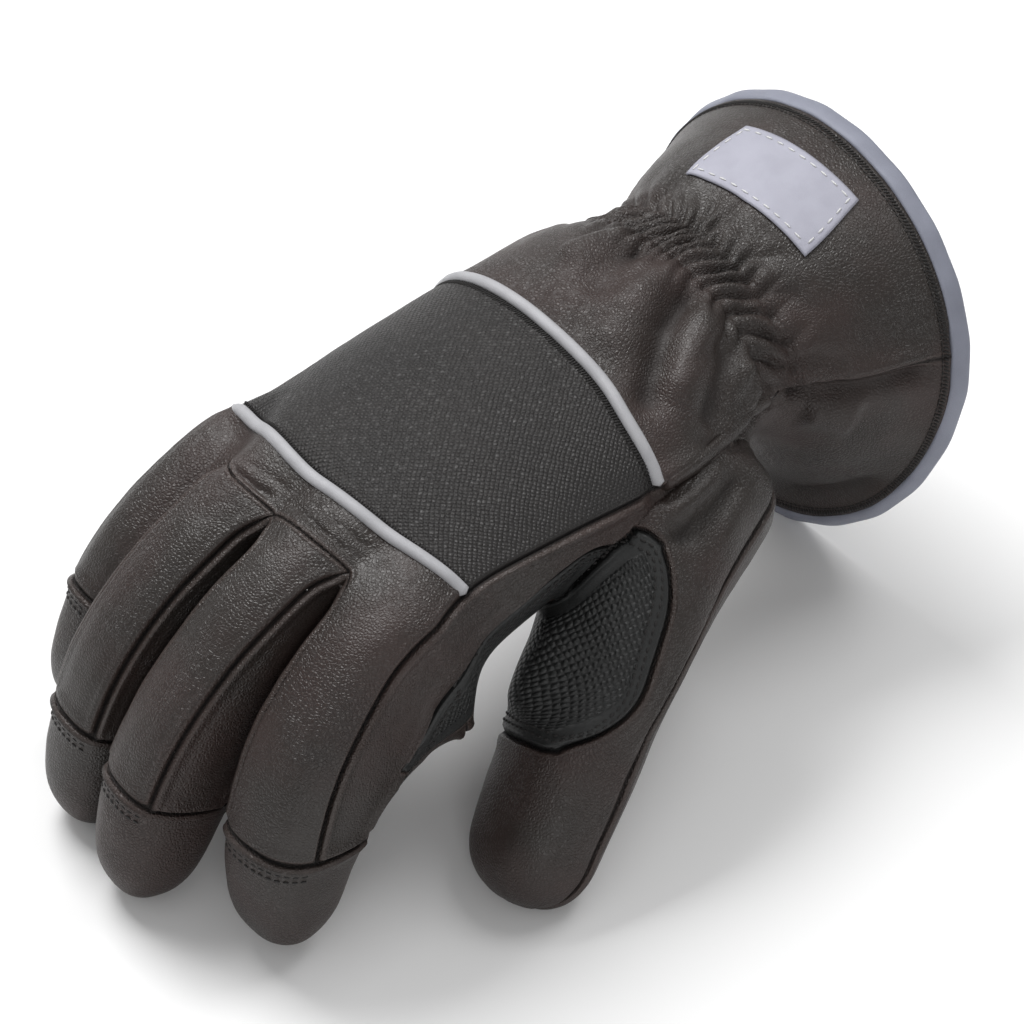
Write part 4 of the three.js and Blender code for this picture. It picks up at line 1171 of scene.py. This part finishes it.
def label_mesh(tree):
    net = Net()

    def place(share, row):
        found = []
        for co in label_place(share, row):
            spot, normal, _, _ = tree.find_nearest(Vector(co))
            found.append(spot + normal * 0.75)
        return np.array(found)

    net.grid(60, [30], place, lambda j, s: "label_patch")
    edge = [v for v in net.bm.verts if v.is_boundary]
    relax(net.bm, [v for v in net.bm.verts if not v.is_boundary], 4)
    for v in edge:
        v.co -= v.normal * 0.25 if v.normal.length else Vector()
    bmesh.ops.recalc_face_normals(net.bm, faces=net.bm.faces)
    middle = net.bm.faces[:][len(net.bm.faces) // 2]
    if middle.normal.dot(tree.find_nearest(middle.calc_center_median())[1]) < 0:
        bmesh.ops.reverse_faces(net.bm, faces=net.bm.faces)
    return net.bm


class Nodes:
    """Adds shader nodes to a tree and joins them."""

    def __init__(self, tree):
        self.tree = tree

    def add(self, kind, inputs=(), **settings):
        node = self.tree.nodes.new(kind)
        for key, value in settings.items():
            setattr(node, key, value)
        for key, value in dict(inputs).items():
            if isinstance(value, bpy.types.NodeSocket):
                self.tree.links.new(value, node.inputs[key])
            else:
                node.inputs[key].default_value = value
        return node

    def math(self, operation, a, b=0.0, clamp=False):
        return self.add("ShaderNodeMath", {0: a, 1: b}, operation=operation, use_clamp=clamp).outputs[0]

    def ranged(self, value, low, high, to_low=0.0, to_high=1.0):
        ends = {"Value": value, "From Min": low, "From Max": high, "To Min": to_low, "To Max": to_high}
        return self.add("ShaderNodeMapRange", ends, interpolation_type="SMOOTHSTEP").outputs["Result"]

    def mix(self, share, a, b):
        node = self.add("ShaderNodeMix", data_type="RGBA")
        for index, value in ((0, share), (6, a), (7, b)):
            if isinstance(value, bpy.types.NodeSocket):
                self.tree.links.new(value, node.inputs[index])
            elif index:
                node.inputs[index].default_value = (*value[:3], 1)
            else:
                node.inputs[index].default_value = value
        return node.outputs[2]

    def join(self, source, target):
        self.tree.links.new(source, target)


def effect(name, ins, outs):
    """A shader node group with named sockets, and what its makers need to fill it."""
    tree = bpy.data.node_groups.new(name, "ShaderNodeTree")
    for label, kind, value in ins:
        socket = tree.interface.new_socket(label, in_out="INPUT", socket_type=kind)
        if value is not None:
            socket.default_value = value
    for label in outs:
        tree.interface.new_socket(label, in_out="OUTPUT", socket_type="NodeSocketFloat")
    return tree, Nodes(tree), tree.nodes.new("NodeGroupInput").outputs, tree.nodes.new("NodeGroupOutput").inputs


def leather_grain():
    """Pebbles, fine creases between them, and slow patches of colour."""
    if "leather_grain" in bpy.data.node_groups:
        return bpy.data.node_groups["leather_grain"]
    ins = [("Vector", "NodeSocketVector", None), ("Pebbles", "NodeSocketFloat", 1150.0)]
    tree, n, given, out = effect("leather_grain", ins, ["Height", "Crease", "Blotch", "Speck"])
    warp = n.add("ShaderNodeTexNoise", {"Vector": given["Vector"], "Scale": 260.0, "Detail": 2.0})
    moved = n.add("ShaderNodeVectorMath", {0: warp.outputs["Color"], 1: (0.5, 0.5, 0.5)}, operation="SUBTRACT")
    moved = n.add("ShaderNodeVectorMath", {0: moved.outputs[0], "Scale": 0.0011}, operation="SCALE")
    place = n.add("ShaderNodeVectorMath", {0: given["Vector"], 1: moved.outputs[0]}, operation="ADD").outputs[0]
    cells = n.add(
        "ShaderNodeTexVoronoi", {"Vector": place, "Scale": given["Pebbles"]}, feature="DISTANCE_TO_EDGE"
    ).outputs["Distance"]
    crease = n.ranged(cells, 0.0, 0.16, 1.0, 0.0)
    tiny = n.add("ShaderNodeTexNoise", {"Vector": given["Vector"], "Scale": 2600.0, "Detail": 2.0}).outputs["Fac"]
    slow = n.add("ShaderNodeTexNoise", {"Vector": given["Vector"], "Scale": 55.0, "Detail": 4.0}).outputs["Fac"]
    strength = n.ranged(slow, 0.3, 0.75, 0.35, 1.0)
    pebble = n.math("MULTIPLY", n.ranged(cells, 0.0, 0.32), strength)
    height = n.math("ADD", pebble, n.math("MULTIPLY", tiny, 0.35))
    n.join(height, out["Height"])
    # The creases' mask, which the leather uses for painted shade and for roughness.
    n.join(n.math("MULTIPLY", crease, strength), out["Crease"])
    blotch = n.add("ShaderNodeTexNoise", {"Vector": given["Vector"], "Scale": 32.0, "Detail": 5.0}).outputs["Fac"]
    n.join(n.ranged(blotch, 0.36, 0.66), out["Blotch"])
    n.join(tiny, out["Speck"])
    return tree


def lattice():
    """Rows of small raised diamonds on a flat layout in millimetres."""
    if "lattice" in bpy.data.node_groups:
        return bpy.data.node_groups["lattice"]
    ins = [
        ("Vector", "NodeSocketVector", None),
        ("Diamonds", "NodeSocketFloat", 1.0),
        ("Wear", "NodeSocketFloat", 0.3),
    ]
    tree, n, given, out = effect("lattice", ins, ["Height", "Gap", "Speck"])
    loose = n.add("ShaderNodeTexNoise", {"Vector": given["Vector"], "Scale": 0.35, "Detail": 1.0}).outputs["Color"]
    loose = n.add("ShaderNodeVectorMath", {0: loose, "Scale": 0.9}, operation="SCALE").outputs[0]
    place = n.add("ShaderNodeVectorMath", {0: given["Vector"], 1: loose}, operation="ADD").outputs[0]
    turned = n.add("ShaderNodeMapping", {"Vector": place, "Rotation": (0, 0, math.pi / 4), "Scale": (1, 1.0, 1)})
    dots = n.add(
        "ShaderNodeTexVoronoi",
        {"Vector": turned.outputs[0], "Scale": given["Diamonds"], "Randomness": 0.16},
        voronoi_dimensions="2D",
    ).outputs["Distance"]
    height = n.ranged(dots, 0.62, 0.12)
    worn = n.add("ShaderNodeTexNoise", {"Vector": given["Vector"], "Scale": 0.7, "Detail": 3.0}).outputs["Fac"]
    worn = n.math("MULTIPLY", n.ranged(worn, 0.4, 0.7), given["Wear"])
    n.join(n.math("MULTIPLY", height, n.math("SUBTRACT", 1.0, worn)), out["Height"])
    n.join(n.ranged(dots, 0.38, 0.62), out["Gap"])
    speck = n.add("ShaderNodeTexNoise", {"Vector": given["Vector"], "Scale": 3.5, "Detail": 2.0}).outputs["Fac"]
    n.join(n.ranged(speck, 0.56, 0.7), out["Speck"])
    return tree


def tape_weave():
    """The fine cross threads and glass specks of reflective tape, on a layout in millimetres."""
    if "tape_weave" in bpy.data.node_groups:
        return bpy.data.node_groups["tape_weave"]
    ins = [("Vector", "NodeSocketVector", None), ("Threads", "NodeSocketFloat", 1.6)]
    tree, n, given, out = effect("tape_weave", ins, ["Height", "Speck", "Soil"])
    waves = []
    for axis in ("X", "Y"):
        wave = n.add(
            "ShaderNodeTexWave",
            {"Vector": given["Vector"], "Scale": given["Threads"], "Distortion": 0.6, "Detail": 1.0},
            bands_direction=axis,
        )
        waves.append(wave.outputs["Fac"])
    n.join(n.math("MAXIMUM", *waves), out["Height"])
    speck = n.add("ShaderNodeTexNoise", {"Vector": given["Vector"], "Scale": 5.0, "Detail": 2.0}).outputs["Fac"]
    n.join(n.ranged(speck, 0.4, 0.68), out["Speck"])
    soil = n.add("ShaderNodeTexNoise", {"Vector": given["Vector"], "Scale": 0.12, "Detail": 4.0}).outputs["Fac"]
    n.join(n.ranged(soil, 0.35, 0.7), out["Soil"])
    return tree


def seam_shade():
    """Painted shade along a seam and in the low valleys of the folds and gathers, the rolled welt beside a seam,
    and a painted highlight on that welt, from the distance to the seam in millimetres and the rise.
    """
    if "seam_shade" in bpy.data.node_groups:
        return bpy.data.node_groups["seam_shade"]
    ins = [("Distance", "NodeSocketFloat", 8.0), ("Rise", "NodeSocketFloat", 0.0)]
    tree, n, given, out = effect("seam_shade", ins, ["Shadow", "Height", "Worn"])
    near_seam = n.ranged(given["Distance"], 0.1, 0.6, 1.0, 0.0)
    # Painted shade in the low valleys of the folds and gathers.
    deep = n.ranged(given["Rise"], -0.8, -3.2)
    n.join(n.math("MAXIMUM", near_seam, n.math("MULTIPLY", deep, 0.8)), out["Shadow"])
    rise = n.ranged(given["Distance"], 0.1, 0.8)
    fall = n.ranged(given["Distance"], 1.1, 1.9)
    n.join(n.math("SUBTRACT", rise, n.math("MULTIPLY", fall, 0.55)), out["Height"])
    # A painted highlight on the welt's rolled top.
    n.join(n.math("MULTIPLY", rise, n.math("SUBTRACT", 1.0, fall)), out["Worn"])
    return tree


def look(name, colour, roughness, **sockets):
    """A new material with a plain shader, its node adder and its shader."""
    material = bpy.data.materials.new(name)
    material.use_nodes = True
    n = Nodes(material.node_tree)
    shader = material.node_tree.nodes["Principled BSDF"]
    shader.inputs["Base Color"].default_value = (*colour[:3], 1)
    shader.inputs["Roughness"].default_value = roughness
    for label, value in sockets.items():
        shader.inputs[label.replace("_", " ")].default_value = value
    return material, n, shader.inputs


def attribute(n, name):
    return n.add("ShaderNodeAttribute", attribute_name=name).outputs["Fac"]


def placed(n):
    return n.add("ShaderNodeTexCoord").outputs["Object"]


def flat(n):
    return n.add("ShaderNodeUVMap", uv_map="flat").outputs["UV"]


def bump(n, height, strength, depth, under=None):
    inputs = {"Height": height, "Strength": strength, "Distance": depth * MM}
    node = n.add("ShaderNodeBump", inputs)
    if under is not None:
        n.join(under, node.inputs["Normal"])
    return node.outputs["Normal"]


def leather_look():
    if "grained_leather" in bpy.data.materials:
        return bpy.data.materials["grained_leather"]
    colours = bpy.context.scene.glove_colours
    material, n, shader = look("grained_leather", colours.leather, 0.45, Specular_IOR_Level=0.42)
    grain = n.add("ShaderNodeGroup", node_tree=leather_grain())
    n.join(placed(n), grain.inputs["Vector"])
    seams = n.add("ShaderNodeGroup", node_tree=seam_shade())
    n.join(attribute(n, "seam"), seams.inputs["Distance"])
    n.join(attribute(n, "rise"), seams.inputs["Rise"])
    colour = n.mix(grain.outputs["Blotch"], colours.leather, colours.leather_red)
    # Painted shade in the grain's creases.
    colour = n.mix(n.math("MULTIPLY", grain.outputs["Crease"], 0.55), colour, colours.leather_crease)
    # A painted highlight on the rolled welts beside the seams.
    colour = n.mix(n.math("MULTIPLY", seams.outputs["Worn"], 0.35), colour, colours.leather_worn)
    # Painted shade along the seams and in the low valleys of the folds and gathers.
    colour = n.mix(n.math("MULTIPLY", seams.outputs["Shadow"], 0.7), colour, colours.leather_crease)
    n.join(colour, shader["Base Color"])
    gloss = n.math("ADD", 0.36, n.math("MULTIPLY", grain.outputs["Blotch"], 0.08))
    gloss = n.math("ADD", gloss, n.math("MULTIPLY", grain.outputs["Crease"], 0.2))
    gloss = n.math("ADD", gloss, n.math("MULTIPLY", seams.outputs["Shadow"], 0.3), clamp=True)
    n.join(gloss, shader["Roughness"])
    welt = bump(n, seams.outputs["Height"], 0.8, 0.55)
    n.join(bump(n, grain.outputs["Height"], 0.85, 0.2, welt), shader["Normal"])
    return material


def lattice_look(name, colour, gap_and_shade_colour, diamonds, depth, roughness, wear, hem_width):
    if name in bpy.data.materials:
        return bpy.data.materials[name]
    material, n, shader = look(name, colour, roughness, Specular_IOR_Level=0.45)
    rows = n.add("ShaderNodeGroup", {"Diamonds": diamonds, "Wear": wear}, node_tree=lattice())
    n.join(flat(n), rows.inputs["Vector"])
    grain = n.add("ShaderNodeGroup", {"Pebbles": 1900.0}, node_tree=leather_grain())
    n.join(placed(n), grain.inputs["Vector"])
    seams = n.add("ShaderNodeGroup", node_tree=seam_shade())
    n.join(attribute(n, "seam"), seams.inputs["Distance"])
    n.join(attribute(n, "rise"), seams.inputs["Rise"])
    hem = n.ranged(attribute(n, "seam"), hem_width - 0.5, hem_width + 0.3)
    tinted = n.mix(n.math("MULTIPLY", grain.outputs["Blotch"], 0.5), colour, gap_and_shade_colour)
    tinted = n.mix(n.math("MULTIPLY", rows.outputs["Gap"], hem), tinted, gap_and_shade_colour)
    # Painted shade along the seams and in the low valleys of the folds.
    tinted = n.mix(n.math("MULTIPLY", seams.outputs["Shadow"], 0.8), tinted, gap_and_shade_colour)
    n.join(tinted, shader["Base Color"])
    gloss = n.math("SUBTRACT", roughness, n.math("MULTIPLY", rows.outputs["Speck"], 0.14))
    n.join(n.math("ADD", gloss, n.math("MULTIPLY", rows.outputs["Gap"], 0.2), clamp=True), shader["Roughness"])
    welt = bump(n, seams.outputs["Height"], 0.8, 0.5)
    raised = bump(n, n.math("MULTIPLY", rows.outputs["Height"], hem), 1.0, depth, welt)
    n.join(bump(n, grain.outputs["Height"], 0.35, 0.1, raised), shader["Normal"])
    return material


def tape_look(name, colour, dark, threads, roughness, metallic):
    if name in bpy.data.materials:
        return bpy.data.materials[name]
    material, n, shader = look(name, colour, roughness, Metallic=metallic)
    weave = n.add("ShaderNodeGroup", {"Threads": threads}, node_tree=tape_weave())
    n.join(flat(n), weave.inputs["Vector"])
    tinted = n.mix(n.math("MULTIPLY", weave.outputs["Soil"], 0.3), colour, dark)
    tinted = n.mix(n.math("MULTIPLY", weave.outputs["Speck"], 0.28), tinted, dark)
    n.join(tinted, shader["Base Color"])
    n.join(n.math("ADD", roughness, n.math("MULTIPLY", weave.outputs["Speck"], 0.15)), shader["Roughness"])
    n.join(bump(n, weave.outputs["Height"], 0.4, 0.08), shader["Normal"])
    return material


def thread_look(name, colour):
    if name in bpy.data.materials:
        return bpy.data.materials[name]
    material, n, shader = look(name, colour, 0.7)
    twist = n.add(
        "ShaderNodeTexWave",
        {"Vector": placed(n), "Scale": 1400.0, "Distortion": 2.0, "Detail": 2.0},
        bands_direction="DIAGONAL",
    ).outputs["Fac"]
    dark = tuple(c * 0.55 for c in colour[:3])
    n.join(n.mix(n.math("MULTIPLY", twist, 0.6), colour, dark), shader["Base Color"])
    n.join(bump(n, twist, 0.5, 0.1), shader["Normal"])
    return material


def linear(r, g, b):
    """A screen colour, 0 to 255, as the linear one that shaders take."""
    return tuple(((c / 255 + 0.055) / 1.055) ** 2.4 if c > 10 else c / 255 / 12.92 for c in (r, g, b))


def length_property(name, description, millimetres):
    return bpy.props.FloatProperty(
        name=name,
        description=description,
        default=millimetres * MM,
        min=0,
        precision=5,
        unit="LENGTH",
        subtype="DISTANCE",
    )


def share_property(name, description, default):
    return bpy.props.FloatProperty(
        name=name, description=description, default=default, min=0, max=3, subtype="FACTOR"
    )


def colour_property(name, description, screen):
    return bpy.props.FloatVectorProperty(
        name=name, description=description, default=linear(*screen), min=0, max=1, size=3, subtype="COLOR"
    )


class GloveSizes(bpy.types.PropertyGroup):
    """Sizes that change the dressing and not the glove's shape."""

    wall: length_property("Wall", "Thickness of the leather", 1.8)
    seam_gap: length_property("Seam gap", "Room between two sewn panels", 0.12)
    piping: length_property("Piping", "Width of the pipings across the back", 3.2)
    binding: length_property("Binding", "Width of the tape round the cuff's edge", BINDING_WIDTH)
    stitch: length_property("Stitch", "Pitch of the stitches on the caps and patches", 2.1)
    gathers: share_property("Gathers", "Height of the wrist's puckers, as a share of the usual", 1.0)
    folds: share_property("Folds", "Depth of the folds, as a share of the usual", 1.0)


class GloveColours(bpy.types.PropertyGroup):
    """Colours of the glove's materials."""

    leather: colour_property("Leather", "Main colour of the leather", (43, 38, 35))
    leather_red: colour_property("Leather patches", "Redder colour in patches of the leather", (51, 39, 36))
    # A painted shade colour: the leather darkens towards it in the grain's creases, along the seams and in the
    # valleys of the folds and gathers.
    leather_crease: colour_property("Leather shade", "Colour in the leather's creases and seams", (22, 16, 15))
    # A painted highlight colour, laid on the rolled welts beside the seams.
    leather_worn: colour_property("Leather welt highlight", "Colour of the rolled edges beside the seams", (74, 62, 58))
    textile: colour_property("Backhand patch", "Main colour of the backhand patch", (37, 34, 33))
    # Darker colour between the dimples, and the painted shade along the patch's seams and in its valleys.
    textile_gap: colour_property("Backhand patch gaps", "Colour between the patch's dimples", (18, 16, 16))
    crotch: colour_property("Crotch patches", "Main colour of the patches at the thumb's crotch", (33, 34, 34))
    # Darker colour between the bumps, and the painted shade along the patches' seams and in their valleys.
    crotch_gap: colour_property("Crotch patch gaps", "Colour between the crotch patches' bumps", (12, 12, 12))
    silver: colour_property("Piping", "Colour of the reflective pipings", (170, 170, 173))
    silver_dark: colour_property("Piping shade", "Darker colour in the pipings", (128, 128, 132))
    binding: colour_property("Binding", "Colour of the cuff's binding", (132, 135, 148))
    binding_dark: colour_property("Binding shade", "Darker colour in the binding", (102, 104, 116))
    label: colour_property("Label", "Colour of the bare label", (162, 162, 174))
    label_dark: colour_property("Label shade", "Darker colour in the label", (136, 136, 148))
    dark_thread: colour_property("Dark thread", "Colour of the dark stitches", (20, 17, 16))
    white_thread: colour_property("White thread", "Colour of the label's stitches", (222, 222, 222))


def stage():
    """The pale floor, the even light and the camera."""
    scene = bpy.context.scene
    bm = bmesh.new()
    bmesh.ops.create_grid(bm, x_segments=1, y_segments=1, size=4)
    floor = mesh_object("floor", bm)
    material, n, shader = look("pale_floor", (0.9, 0.9, 0.9), 0.9, Specular_IOR_Level=0.2)
    slow = n.add("ShaderNodeTexNoise", {"Vector": placed(n), "Scale": 3.0}).outputs["Fac"]
    n.join(n.mix(slow, (0.9, 0.9, 0.9), (0.93, 0.93, 0.93)), shader["Base Color"])
    floor.data.materials.append(material)
    world = bpy.data.worlds.new("studio")
    scene.world = world
    world.use_nodes = True
    sky = world.node_tree.nodes["Background"].inputs
    sky["Color"].default_value = (1, 1, 1, 1)
    sky["Strength"].default_value = SKY_STRENGTH
    for name, place, size, power in LAMPS:
        light = bpy.data.lights.new(name, "AREA")
        light.energy, light.size = power, size
        lamp = bpy.data.objects.new(name, light)
        lamp.location = place
        lamp.rotation_mode = "QUATERNION"
        lamp.rotation_quaternion = (-Vector(place)).to_track_quat("-Z", "Y")
        scene.collection.objects.link(lamp)
    camera = bpy.data.objects.new("camera", bpy.data.cameras.new("camera"))
    camera.data.lens = CAMERA_LENS
    camera.data.clip_end = 10
    azimuth, elevation = CAMERA_AZIMUTH * RAD, CAMERA_ELEVATION * RAD
    back = Vector(
        (math.sin(azimuth) * math.cos(elevation), -math.cos(azimuth) * math.cos(elevation), math.sin(elevation))
    )
    target = (Vector(CAMERA_TARGET) + Vector(ORIGIN)) * MM
    camera.location = target + back * CAMERA_DISTANCE
    camera.rotation_mode = "QUATERNION"
    camera.rotation_quaternion = (-back).to_track_quat("-Z", "Y")
    scene.collection.objects.link(camera)
    scene.camera = camera
    scene.view_settings.view_transform = "Standard"


def cap_rows():
    """Two rows of stitches across the back of each fingertip's cap."""
    for lane, finger in enumerate(fingers):
        for past in (2.7, 4.3):
            share = np.linspace(0.06, 0.94, 30)
            yield finger.point(finger.cap_at + past + 0 * share, strip_angle("back", share, lane, finger.cap_at))


def slid(place, angles, inset):
    """The place on a section that lies an inset in millimetres from its first angle."""
    places = place(angles)
    lengths = np.concatenate([[0.0], np.cumsum(np.linalg.norm(np.diff(places, axis=0), axis=1))])
    return np.array([np.interp(inset, lengths, places[:, k]) for k in range(3)])


def hand_patch_row(inset):
    first = fingers[0]
    row = []
    for along in np.linspace(HAND_PATCH_ROWS[0][0] + inset, PATCH_TO - inset - 1, 90):
        start = float(hand_patch_at(along).angle)
        angles = np.linspace(start, start - 40, 60)
        if along < first.base_y:
            row.append(slid(lambda a, t=first.base_y - along: first.point(t + 0 * a, a), angles, inset))
        else:
            row.append(slid(lambda a, y=along: rim_place(a, y + 0 * a), angles, inset))
    return np.array(row)


# The angle round the thumb that the stitches across its patch's ends reach.
THUMB_STITCHED_TO = 150


def thumb_patch_row(inset):
    """A row of stitches inside the thumb patch's edge, along its curved side and across its two ends."""
    low, high = THUMB_PATCH_FROM + inset / THUMB_LENGTH, THUMB_PATCH_TO - inset / THUMB_LENGTH
    at = np.linspace(low, high, 90)
    angle = thumb_patch_at(at).angle + inset / 17 / RAD
    row = thumb_point(at * THUMB_LENGTH, angle)
    start = np.linspace(THUMB_STITCHED_TO, angle[0], 40)
    end = np.linspace(angle[-1], THUMB_STITCHED_TO, 40)
    before = thumb_point(low * THUMB_LENGTH + 0 * start, start)
    after = thumb_point(high * THUMB_LENGTH + 0 * end, end)
    return np.vstack([before, row, after])


# The rolled cord along the back panel's lapped edge: how deep it lies, its half width and height, and
# how far from a seam its leather counts as being.
CORD_SUNK, CORD_HALVES, CORD_FROM_SEAM = 0.3, (2.6, 1.7), 3.0


class GLOVE_OT_stage(bpy.types.Operator):
    """Lays the pale floor and sets the soft lights and the camera"""

    bl_idname = "glove.stage"
    bl_label = "Stage"

    def execute(self, context):
        stage()
        return {"FINISHED"}


class GLOVE_OT_back_and_palm(bpy.types.Operator):
    """Sews the leather panels of the hand, the wrist and the cuff"""

    bl_idname = "glove.back_and_palm"
    bl_label = "Back and palm"

    def execute(self, context):
        sewn(["knuckle_panel", "rear_back_panel", "palm_panel", "index_side_panel"], leather_look())
        path, ups = skin().lines["back_panel_edge"]
        edge = swept("rear_back_panel", path - ups * CORD_SUNK, ups, *CORD_HALVES)
        set_layer(edge, "seam", np.full(len(edge.verts), CORD_FROM_SEAM))
        finished("back_panel_edge", edge, leather_look())
        return {"FINISHED"}


class GLOVE_OT_fingers(bpy.types.Operator):
    """Sews the backs, fronts, sides and caps of the fingers"""

    bl_idname = "glove.fingers"
    bl_label = "Fingers"

    def execute(self, context):
        names = [name for name in LEATHER_NODES if name.endswith(("_back", "_front", "_cap"))]
        sewn(names + [name for name in LEATHER_NODES if name.startswith("fourchette")], leather_look())
        return {"FINISHED"}


class GLOVE_OT_thumb(bpy.types.Operator):
    """Sews the two sides of the thumb"""

    bl_idname = "glove.thumb"
    bl_label = "Thumb"

    def execute(self, context):
        sewn(["thumb_outer", "thumb_inner"], leather_look())
        return {"FINISHED"}


class GLOVE_OT_patches(bpy.types.Operator):
    """Sews the backhand patch and the patches at the thumb's crotch"""

    bl_idname = "glove.patches"
    bl_label = "Patches"

    def execute(self, context):
        colours = context.scene.glove_colours
        textile = lattice_look("dimpled_textile", colours.textile, colours.textile_gap, 0.98, 0.3, 0.48, 0.5, 1.4)
        crotch = lattice_look("bumped_crotch", colours.crotch, colours.crotch_gap, 0.66, 0.5, 0.5, 0.3, 4.6)
        sewn(["backhand_patch"], textile)
        sewn(["crotch_patch_hand", "crotch_patch_thumb"], crotch)
        return {"FINISHED"}


class GLOVE_OT_pipings(bpy.types.Operator):
    """Lays the two silver pipings across the back"""

    bl_idname = "glove.pipings"
    bl_label = "Pipings"

    def execute(self, context):
        colours = context.scene.glove_colours
        half = context.scene.glove_sizes.piping / MM / 2
        silver = tape_look("silver_tape", colours.silver, colours.silver_dark, 1.6, 0.5, 0.1)
        for name in ("front_piping", "rear_piping"):
            path, ups = skin().lines[name]
            bm = swept(name, path + ups * 0.35, ups, half, half * 0.8)
            finished(name + "_sewn", bm, silver, node=name)
        return {"FINISHED"}


class GLOVE_OT_binding(bpy.types.Operator):
    """Folds the tape round the cuff's edge"""

    bl_idname = "glove.binding"
    bl_label = "Binding"

    def execute(self, context):
        colours, sizes = context.scene.glove_colours, context.scene.glove_sizes
        tape = tape_look("binding_tape", colours.binding, colours.binding_dark, 1.2, 0.5, 0.1)
        edge = bound_edge(sizes.binding / MM, sizes.wall / MM)
        finished("cuff_binding_sewn", edge, tape, node="cuff_binding")
        return {"FINISHED"}


class GLOVE_OT_label(bpy.types.Operator):
    """Sews the bare label on the cuff"""

    bl_idname = "glove.label"
    bl_label = "Label"

    def execute(self, context):
        colours = context.scene.glove_colours
        cloth = tape_look("label_cloth", colours.label, colours.label_dark, 1.4, 0.5, 0.1)
        bm = label_mesh(skin().tree)
        tree = BVHTree.FromBMesh(bm)
        finished("label_patch_sewn", bm, cloth, node="label_patch", wall=0.5 * MM)
        threads = bmesh.new()
        side, end = 2.0 / LABEL_LENGTH, 2.0 / LABEL_WIDTH
        ring = [(side, end), (1 - side, end), (1 - side, 1 - end), (side, 1 - end), (side, end)]
        for (a, b), (c, d) in zip(ring[:-1], ring[1:]):
            s = np.linspace(0, 1, 40)
            stitch_row(threads, tree, label_place(lerp(a, c, s), lerp(b, d, s)), 3.6, 2.4, 0.55, 0.5, lift=0.05)
        finished("label_stitches", threads, thread_look("white_thread", colours.white_thread))
        return {"FINISHED"}


class GLOVE_OT_stitches(bpy.types.Operator):
    """Sews the stitches of the caps, the patches, the pipings and the cuff's edge"""

    bl_idname = "glove.stitches"
    bl_label = "Stitches"

    def execute(self, context):
        pitch = context.scene.glove_sizes.stitch / MM
        dark = thread_look("dark_thread", context.scene.glove_colours.dark_thread)
        tree, lines = skin().tree, skin().lines
        caps = bmesh.new()
        for row in cap_rows():
            stitch_row(caps, tree, row, pitch, pitch * 0.72, 0.75, 0.5, lift=0.02, shake=0.2)
        finished("cap_stitches", caps, dark)
        patches = bmesh.new()
        for inset in (2.4, 4.0):
            for row in (hand_patch_row(inset), thumb_patch_row(inset)):
                stitch_row(patches, tree, row, pitch, pitch * 0.75, 0.7, 0.5, lift=0.05, shake=0.2)
        finished("crotch_patch_stitches", patches, dark)
        fringe = bmesh.new()
        for name, away, length, step in (("front_piping", 2.1, 1.1, 0.8), ("rear_piping", -2.3, 2.0, 0.75)):
            path, _ = lines[name]
            back = unit(np.cross(np.gradient(path, axis=0), lines[name][1]))
            back = back * np.sign(back[:, 1])[:, None]
            stitch_row(fringe, tree, path + back * away, step, length, 0.5, 0.5, lean=80, lift=0.05, shake=0.5)
        finished("piping_stitches", fringe, dark)
        cuff = bmesh.new()
        angle = np.linspace(0, 360, 400)
        for inset, sizes, lean, shake in (
            (1.5, (0.95, 1.9, 0.6, 0.55), 62, 0.25),
            (2.4, (1.5, 1.4, 0.45, 0.45), 0, 0.2),
        ):
            line = rim_place(angle, PANEL_END - inset + 0 * angle)
            stitch_row(cuff, tree, line, *sizes, lean=lean, lift=0.05, shake=shake)
        finished("cuff_stitches", cuff, dark)
        return {"FINISHED"}


OPERATORS = (
    GLOVE_OT_stage,
    GLOVE_OT_back_and_palm,
    GLOVE_OT_fingers,
    GLOVE_OT_thumb,
    GLOVE_OT_patches,
    GLOVE_OT_pipings,
    GLOVE_OT_binding,
    GLOVE_OT_label,
    GLOVE_OT_stitches,
)


class GLOVE_PT_panel(bpy.types.Panel):
    """The glove's sizes, colours and pieces"""

    bl_idname = "GLOVE_PT_panel"
    bl_label = "Firefighter glove"
    bl_space_type = "VIEW_3D"
    bl_region_type = "UI"
    bl_category = "Glove"

    def draw(self, context):
        for operator in OPERATORS:
            self.layout.operator(operator.bl_idname)
        for group in (context.scene.glove_sizes, context.scene.glove_colours):
            for name in group.bl_rna.properties.keys():
                if name not in ("rna_type", "name"):
                    self.layout.prop(group, name)


CLASSES = (GloveSizes, GloveColours, *OPERATORS, GLOVE_PT_panel)


def register():
    for made in CLASSES:
        bpy.utils.register_class(made)
    bpy.types.Scene.glove_sizes = bpy.props.PointerProperty(type=GloveSizes)
    bpy.types.Scene.glove_colours = bpy.props.PointerProperty(type=GloveColours)


def unregister():
    del bpy.types.Scene.glove_sizes, bpy.types.Scene.glove_colours
    for made in reversed(CLASSES):
        bpy.utils.unregister_class(made)


def main():
    register()
    bpy.ops.glove.stage()
    bpy.ops.glove.back_and_palm()
    bpy.ops.glove.fingers()
    bpy.ops.glove.thumb()
    bpy.ops.glove.patches()
    bpy.ops.glove.pipings()
    bpy.ops.glove.binding()
    bpy.ops.glove.label()
    bpy.ops.glove.stitches()


if __name__ == "__main__":
    main()
